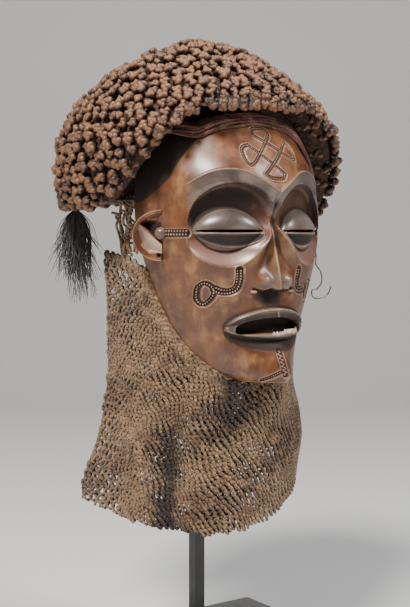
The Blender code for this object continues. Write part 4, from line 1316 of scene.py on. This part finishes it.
def knot_places():
    """Where each knot stands on the coiffure and which way it points."""
    height = np.linspace(HAIR_TOP - 1e-4, 0.0, 2000)
    profile = hair_point(np.full_like(height, 0.25 * math.pi), height, 0.0)
    reach = np.linalg.norm(profile[:, :2] - (0, HAIR_MIDDLE), axis=1)
    run = run_along(np.stack([reach, height], axis=1))
    turns = np.linspace(0, 2 * math.pi, 181)
    places = []
    for level in np.arange(KNOT_ROW_PITCH * 0.4, run[-1], KNOT_ROW_PITCH):
        z = float(np.interp(level, run, height))
        at = run_along(hair_point(turns, turns * 0 + z, 0.0))
        count = max(3, round(at[-1] / KNOT_PITCH))
        for spot in (np.arange(count) + random.random()) * at[-1] / count:
            spot = (spot + random.uniform(-0.0022, 0.0022)) % at[-1]
            angle = float(np.interp(spot, at, turns))
            high = z + random.uniform(-0.0018, 0.0018)
            above_edge = high - hair_edge(np.array([angle]))[0]
            if above_edge < 0.001:
                continue
            corners = np.array([[angle, angle + 0.02, angle], [high, high, high - 0.0015]])
            here, beside, over = hair_point(*corners, 0.0)
            out = unit(np.cross(beside - here, over - here))
            out *= np.sign((out * (here - (0, HAIR_MIDDLE, 0.03))).sum())
            droop = 0.15 + 0.75 * (1 - ease(above_edge, 0.0, 0.03))
            places.append((here, out - (0, 0, droop)))
    around = int(2 * math.pi * HAIR_EDGE_RADIUS / KNOT_PITCH)
    for inset, climb, outward in EDGE_KNOTS:
        for k in range(around):
            angle = (k + random.random()) * 2 * math.pi / around
            if climb > HAIR_INSIDE_RISE and math.cos(angle) < -0.3:
                continue
            high = hair_edge(np.array([angle]))[0] + climb + random.uniform(-0.0015, 0.0015)
            here = hair_point(np.array([angle]), np.array([high]), inset)[0]
            places.append((here, unit(here - (0, HAIR_MIDDLE, here[2])) * outward - (0, 0, 0.8)))
    return places


def build_knots(finish):
    variants = [knot_shape(seed) for seed in range(KNOT_VARIANTS)]
    batches = {name: Batch() for name in ("left", "back", "right")}
    share = np.linspace(0, 1, len(STEM_RADII))
    for here, out in knot_places():
        out = unit(unit(out) + [random.gauss(0, 0.16) for _ in range(3)])
        size = KNOT_SIZE * random.uniform(0.82, 1.14)
        tall = random.uniform(0.92, 1.25)
        shape, faces = variants[random.randrange(KNOT_VARIANTS)]
        turn = turned_to(out, random.uniform(0, 2 * math.pi))
        middle = here - out * size * random.uniform(0.45, 1.6)
        shade = random.random()
        angle = math.atan2(here[0], HAIR_MIDDLE - here[1]) % (2 * math.pi)
        batch = list(batches.values())[int(angle / (2 * math.pi) * len(batches)) % len(batches)]
        # Share toward each knot's outer tip, which the material paints light as highlight there and dark
        # as shade on the inner side; the stems get low shares and so painted shade
        tip = np.clip((shape[:, 2] * tall + 0.75) / 1.45, 0, 1)
        batch.add(middle + shape * (size, size, tall * size) @ turn.T, faces, numbers(tip, shade))
        stem = middle - out * KNOT_STEM * (1 - share[:, None])
        batch.add_tube(sweep(stem, turn[:, 0], STEM_RADII, KNOT_SIDES), numbers(share * 0.3, shade))
    for name, batch in batches.items():
        batch.piece(f"coiffure_knots_{name}", finish, "knotted_fibre", "strand")


# Headband


def build_headband(finish):
    """Twisted cords laid side by side along the hairline, with frayed ends."""
    batch = Batch()
    side = np.linspace(*BAND_ENDS, BAND_STEPS)
    level = smooth_through(HAIRLINE, side) + 0.016 * ease(-side, 0.046, 0.066)

    def skin(x, z):
        across = np.clip(x / face_level(z, 1), -1, 1)
        return numbers(*plain_face(across, z), z)

    here = skin(side, level)
    out = unit(np.cross(skin(side + 0.001, level) - here, skin(side, level + 0.001) - here))
    along = unit(np.gradient(here, axis=0))
    up = np.cross(out, along)
    up *= np.sign(up[:, 2:3])
    run = run_along(here)
    for k in range(BAND_CORDS):
        share = (k / (BAND_CORDS - 1)) * 2 - 1
        wander = 0.0007 * np.sin(run / 0.017 + 2.1 * k) + 0.0004 * np.sin(run / 0.006 + 4.0 * k)
        layer = 0.0014 + 0.0026 * (1 - share**2) + 0.0006 * np.sin(run / 0.011 + 1.3 * k)
        path = here + up * (share * BAND_HALF_HEIGHT + wander)[:, None] + out * layer[:, None]
        radius = BAND_CORD_RADIUS * random.uniform(0.92, 1.15)
        rings = sweep(path, out, radius, 8, run / BAND_TWIST * 2 * math.pi + k)
        batch.add_tube(rings, numbers(run / BAND_TWIST, random.random()))
    share = np.linspace(0, 1, 6)[:, None]
    for _ in range(BAND_FRAYS):
        at = random.randrange(8, BAND_STEPS - 8)
        start = here[at] + up[at] * random.uniform(-1, 1) * BAND_HALF_HEIGHT + out[at] * 0.002
        lean = along[at] * random.uniform(-1, 1) + out[at] * random.uniform(0.2, 0.8)
        lean = unit(lean + up[at] * random.uniform(-0.4, 0.6)) * random.uniform(0.003, 0.008)
        path = start + lean * share + up[at] * (0.002 * random.uniform(-1, 1)) * share**2
        rings = sweep(path, up[at] + 0.3 * along[at], 0.00022 * (1 - 0.7 * share), 3)
        batch.add_tube(rings, (0.0, random.random(), 0.0))
    band = batch.piece("headband_cords", finish, "band_fibre", "strand")
    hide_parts("headband")


# Net collar


def net_top(share):
    """Upper edge of half the collar, straight behind the chin and then along the rim."""
    height = smooth_through([(row[0], row[1]) for row in NET_TOP], share)
    behind = smooth_through([(row[0], row[2]) for row in NET_TOP], share)
    across = np.minimum(share / NET_TOP[0][0], 1)
    x = face_level(height, 1) * across
    return x, face_level(height, 2) + NET_BEHIND_RIM + behind, height


def net_section(share, z):
    """Half of the collar's plan at a height: a quarter oval, then straight back."""
    rows = NET_LEVELS
    half_width, front, back = [smooth_through([(r[0], r[k]) for r in rows], z) for k in (1, 2, 3)]
    turn = np.minimum(share / NET_TURN, 1) * math.pi / 2
    behind = np.clip((share - NET_TURN) / (1 - NET_TURN), 0, 1)
    x = half_width * np.sin(turn)
    y = NET_MIDDLE - front * np.cos(turn) + (back - NET_MIDDLE) * behind
    return x, y


def net_point(around, down):
    """Middle of the netting; around runs from the right back edge, -1, to the left, 1."""
    share = np.abs(around)
    top_x, top_y, top_z = net_top(share)
    z = top_z + (smooth_through(NET_HEM, around) - top_z) * down
    plan_x, plan_y = net_section(share, z)
    free = ease(down, 0, NET_JOIN)
    x = top_x + (plan_x - top_x) * free
    y = top_y + (plan_y - top_y) * free
    for middle, width, depth, grows, ends in NET_FOLDS:
        fold = depth * bell(around, middle, width) * between(-z, grows, ends)
        y = y + fold * np.cos(share * math.pi / 2)
        x = x - fold * np.sin(share * math.pi / 2)
    return numbers(np.sign(around) * x, y, z)


def net_out(around, down):
    """Direction out of the netting."""
    little = 0.004
    east, west = (net_point(np.clip(around + step, -1, 1), down) for step in (little, -little))
    south, north = (net_point(around, np.clip(down + step, 0, 1)) for step in (little, -little))
    out = unit(np.cross(east - west, south - north))
    toward = net_point(around, down) - (0, NET_MIDDLE, -0.1)
    return out * np.sign((out * toward * (1, 1, 0)).sum(axis=-1, keepdims=True))


def net_bindings():
    """Cords that edge the collar: one along the wooden rim and one up each back edge."""
    share = np.linspace(-NET_TURN, NET_TURN, 420)
    path = net_point(share, share * 0)
    path[:, 1] -= NET_BEHIND_RIM * 0.42
    yield path, net_out(share, share * 0 + 0.02), 0.0021
    down = np.linspace(0.0, 1.0, 160)
    for end in (-0.998, 0.998):
        yield net_point(end + down * 0, down), net_out(end + down * 0, down), 0.0017


def net_ties():
    """Loose loops of the net's cord that tie its top edge to the coiffure behind each ear."""
    share = np.linspace(0, 1, 7)[:, None]
    for side in (-1, 1):
        for _ in range(TIES):
            foot = np.array([side * 0.0805, random.uniform(0.092, 0.112), -0.0185])
            rise = (side * 0.003, random.uniform(-0.004, 0.01), random.uniform(0.034, 0.044))
            sway = [[random.gauss(0, spread) for spread in TIE_SWAY] for _ in share]
            yield smooth_path(foot + np.array(rise) * share + sway, 60)


def net_row(row, base, phase, stitches):
    """Places round and down the collar of a row's cord, its lift and radius, its shade with
    painted light where the rows gather, and its painted shade, darker where it lies deep."""
    chance = 0.5 * np.sin(base * 9 + row * 0.35) + 0.3 * np.sin(base * 23 - row * 0.9)
    loose = 1 + 0.1 * np.sin(base * 14 + row * 0.5)
    slant = np.where(base < NET_RIBS, 1 - 2 * (row % 2), 1)
    lean = 0.1 * np.sin(2 * phase) * loose - STITCH_LEAN * np.cos(phase) * slant
    around = base + (lean + chance + ROW_SHIFT * row % 1) * 2 / stitches
    around = np.clip(around, -0.9995, 0.9995)
    high = net_top(np.abs(around))[2]
    if row < 0:
        level = high + (row + 0.5) * STITCH_ROW
    else:
        level = NET_HIGHEST - row * STITCH_ROW + ROW_RISE[0] * ease(base, *ROW_RISE[1:])
        level = level + 0.004 * np.sin(base * 11 + row * 0.16) + 0.0012 * np.sin(base * 37 + row * 0.7)
    level = level + STITCH_HEIGHT * np.cos(phase) * loose
    down = (high - level) / (high - smooth_through(NET_HEM, around))
    lift = 1.25 * np.sin(phase) * slant + 0.2 * np.cos(2 * phase)
    thick = NET_CORD_RADIUS * (1 + 0.1 * np.sin(phase * 0.37 + row) - 0.13 * np.sin(phase) * slant)
    shade = 0.45 + 0.3 * np.sin(base * 7 + row * 0.31) + 0.15 * np.sin(base * 31 + row)
    # Painted light on the rows drawn together near the right cheek
    place, wide, bunch_level, tall = NET_BUNCH
    shade = shade + 0.6 * bell(base, place, wide) * bell(level, bunch_level, tall)
    # Painted shade: darker on the legs that lie behind, and in the fold and behind the chin
    depth_shade = 0.46 - lift * 0.6
    for place, wide, strength, grows, ends in NET_SHADE_PATCHES:
        depth_shade = depth_shade + strength * bell(base, place, wide) * between(-level, grows, ends)
    return around, down, lift * NET_CORD_RADIUS, thick, np.clip(shade, 0, 1), np.clip(depth_shade, 0, 1)


def build_net(finish):
    """Rows of cord, each looped through the row above, from the rim down to the hem."""
    batch = Batch()
    for path, out, radius in net_bindings():
        run = run_along(path) / BINDING_TWIST
        batch.add_tube(sweep(path, out, radius, 8, run * math.pi), numbers(run, 0.55, 0.1))
    for path in net_ties():
        values = numbers(run_along(path) / NET_TWIST, random.uniform(0.5, 1.0))
        batch.add_tube(sweep(path, (np.sign(path[0, 0]), 0, 0.1), TIE_RADIUS, 6), values)
    edge = np.linspace(-1, 1, 401)
    run = run_along(net_point(edge, np.full(401, 0.5)))
    stitches = round(run[-1] / STITCH_PITCH)
    phase = np.linspace(0, 2 * math.pi * stitches, stitches * STITCH_STEPS + 1)
    base = np.interp(phase / phase[-1] * run[-1], run, edge)
    longest = NET_HIGHEST - min(row[1] for row in NET_HEM)
    rows = round((longest + ROW_RISE[0]) / STITCH_ROW)
    for row in range(-RIM_ROWS, rows):
        cord = net_row(row, base, phase, stitches)
        within = (cord[1] > 0.0) & (cord[1] < 1.0)
        turns = np.flatnonzero(np.diff(np.concatenate([[False], within, [False]]).astype(int)))
        for first, last in zip(turns[::2], turns[1::2]):
            if last - first < STITCH_STEPS:
                continue
            around, down, lift, thick, shade, depth_shade = (part[first:last] for part in cord)
            out = net_out(around, down)
            path = net_point(around, down) + out * (NET_OUTWARD + lift[:, None])
            values = numbers(run_along(path) / NET_TWIST, shade, depth_shade)
            batch.add_tube(sweep(path, out, thick, STITCH_SIDES), values)
        if row == rows // 2:
            upper = batch.piece("net_collar_upper", finish, "net_fibre", "strand")
            batch = Batch()
    batch.piece("net_collar_lower", finish, "net_fibre", "strand")
    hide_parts("net_collar")


# Tuft, wire and stand


def build_tuft(finish):
    """Loose strands that fan out of one binding under the coiffure."""
    batch = Batch()
    share = np.linspace(0, 1, TUFT_STEPS)[:, None]
    for k in range(TUFT_STRANDS):
        turn = random.uniform(0, 2 * math.pi)
        away = np.array([math.cos(turn), math.sin(turn), 0])
        wide = away * (0.0245, 0.0125, 0) * random.betavariate(1.6, 1.4)
        if k % 5:
            length = random.uniform(0.03, 0.062)
        else:
            length = random.uniform(0.06, 0.082)
            wide = wide * 0.55 + (0.007, 0.0, 0)
        curl = np.array([random.gauss(0, 0.0035), random.gauss(0, 0.0025), 0])
        path = away * TUFT_NECK + wide * share**0.95 - (0, 0, length) * share
        path = path + curl * np.sin(share * math.pi * 1.3)
        path = path + TUFT_APEX + 0.0006 * np.sin(share * 9 + turn) * (1.0, 0.6, 0)
        radius = STRAND_RADIUS * random.uniform(0.7, 1.3) * (1 - 0.55 * share)
        values = numbers(share[:, 0], random.random())
        batch.add_tube(sweep(path, (0.3, -1.0, 0.2), radius, 3), values)
    turn = np.linspace(0, 2 * math.pi, 25)
    for k in range(5):
        ring = numbers(0.0031 * np.cos(turn), 0.0031 * np.sin(turn), -0.0012 * k) + TUFT_APEX
        batch.add_tube(sweep(ring, (0, 0, 1.0), 0.0007, 5), (0.0, 0.6, 0.0))
    tuft = batch.piece("fibre_tuft_strands", finish, "dark_fibre", "strand")
    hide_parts("fibre_tuft")


def build_wire(finish):
    batch = Batch()
    path = smooth_path(WIRE_ROUTE, 90)
    batch.add_tube(sweep(path, (0.2, 1.0, 0.1), WIRE_RADIUS, 10), (0.0, 0.5, 0.0))
    wire = batch.piece("ear_wire_hook", finish, "iron_wire", "strand")
    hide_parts("ear_wire")


def repaint(node, finish):
    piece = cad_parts[node]
    piece.data.materials.clear()
    piece.data.materials.append(finish)


# Floor, light and camera


def build_stage():
    """Pale paper sweep: a floor that curves up behind the mask."""
    bend, half, length, height = 0.9, 4.0, 1.6, 3.2
    profile = [(-3.0, 0.0), (length, 0.0)]
    for turn in np.linspace(0, math.pi / 2, 24)[1:]:
        profile.append((length + bend * math.sin(turn), bend - bend * math.cos(turn)))
    profile.append((length + bend, height))
    points = [
        AHEAD * away + BESIDE * side + Vector((0, 0, up)) for away, up in profile for side in (-half, half)
    ]
    faces = [(2 * k, 2 * k + 1, 2 * k + 3, 2 * k + 2) for k in range(len(profile) - 1)]
    mesh = bpy.data.meshes.new("paper_sweep")
    mesh.from_pydata(points, [], faces)
    mesh.shade_smooth()
    mesh.materials.append(pale_paper("pale_paper"))
    sweep_object = bpy.data.objects.new("paper_sweep", mesh)
    bpy.context.scene.collection.objects.link(sweep_object)
    sweep_object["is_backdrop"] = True


def add_light(name, place, size, power, colour):
    light = bpy.data.lights.new(name, "AREA")
    light.shape = "RECTANGLE"
    light.size, light.size_y = size
    light.energy = power
    light.color = colour
    lamp = bpy.data.objects.new(name, light)
    bpy.context.scene.collection.objects.link(lamp)
    aim = Vector((0.0, -0.05, 0.38)) - Vector(place)
    lamp.location = place
    lamp.rotation_euler = aim.to_track_quat("-Z", "Y").to_euler()


def around(turn, distance, height):
    """Place at an angle to the right of the camera's own side of the mask."""
    angle = CAMERA_AZIMUTH - math.radians(turn)
    return (-math.sin(angle) * distance, -math.cos(angle) * distance, height)


def build_light():
    add_light("key_light", around(-22, 1.15, 1.85), (0.4, 0.4), 62, (1.0, 0.965, 0.92))
    add_light("side_light", around(66, 1.2, 1.45), (0.35, 0.5), 19, (0.96, 0.98, 1.0))
    add_light("front_fill", around(-75, 2.0, 0.7), (1.4, 1.2), 3, (1.0, 0.98, 0.96))
    add_light("top_light", (0.0, 0.55, 2.1), (1.4, 1.4), 6, (1.0, 0.99, 0.97))
    world = bpy.data.worlds.new("studio")
    world.use_nodes = True
    background = world.node_tree.nodes["Background"]
    background.inputs["Color"].default_value = (0.92, 0.95, 1.0, 1.0)
    background.inputs["Strength"].default_value = 0.1
    bpy.context.scene.world = world


def build_camera():
    pitch = math.atan2(EYE_LINE_UP, FOCAL_PIXELS)
    look = AHEAD * math.cos(pitch) + Vector((0, 0, -1)) * math.sin(pitch)
    lens = bpy.data.cameras.new("camera")
    lens.sensor_width = 36
    lens.lens = FOCAL_PIXELS / PHOTO_HEIGHT * lens.sensor_width
    lens.clip_start = 0.05
    camera = bpy.data.objects.new("camera", lens)
    bpy.context.scene.collection.objects.link(camera)
    turn = Matrix((BESIDE, BESIDE.cross(look), -look)).transposed().to_4x4()
    turn.translation = Vector(MASK_AT) - AHEAD * CAMERA_DISTANCE - BESIDE * CAMERA_LEFT
    camera.matrix_world = turn
    bpy.context.scene.camera = camera


def main():
    random.seed(11)
    wood = carved_wood("carved_wood")
    knots = knotted_fibre("knotted_fibre")
    build_camera()
    build_stage()
    build_light()
    build_face(wood)
    build_beads(wood)
    build_teeth(pale_wood("pale_wood"))
    for name, side in (("right", -1), ("left", 1)):
        build_ear(f"{name}_ear", side, wood)
        build_tragus(f"{name}_ear_knob", side, wood)
    build_hair_core(matted_fibre("matted_fibre"))
    build_knots(knots)
    build_headband(spun_cord("band_fibre", (0.105, 0.034, 0.022), (0.23, 0.095, 0.062), False))
    build_net(spun_cord("net_fibre", (0.085, 0.042, 0.02), (0.29, 0.175, 0.092)))
    build_tuft(dark_strand("dark_fibre"))
    build_wire(tarnished_iron("wire_iron"))
    repaint("stand_post", painted_steel("black_steel"))
    repaint("stand_foot", lacquered_wood("black_wood"))


main()
low_high = [[list(corner) for corner in box] for box in (cad_box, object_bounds())]
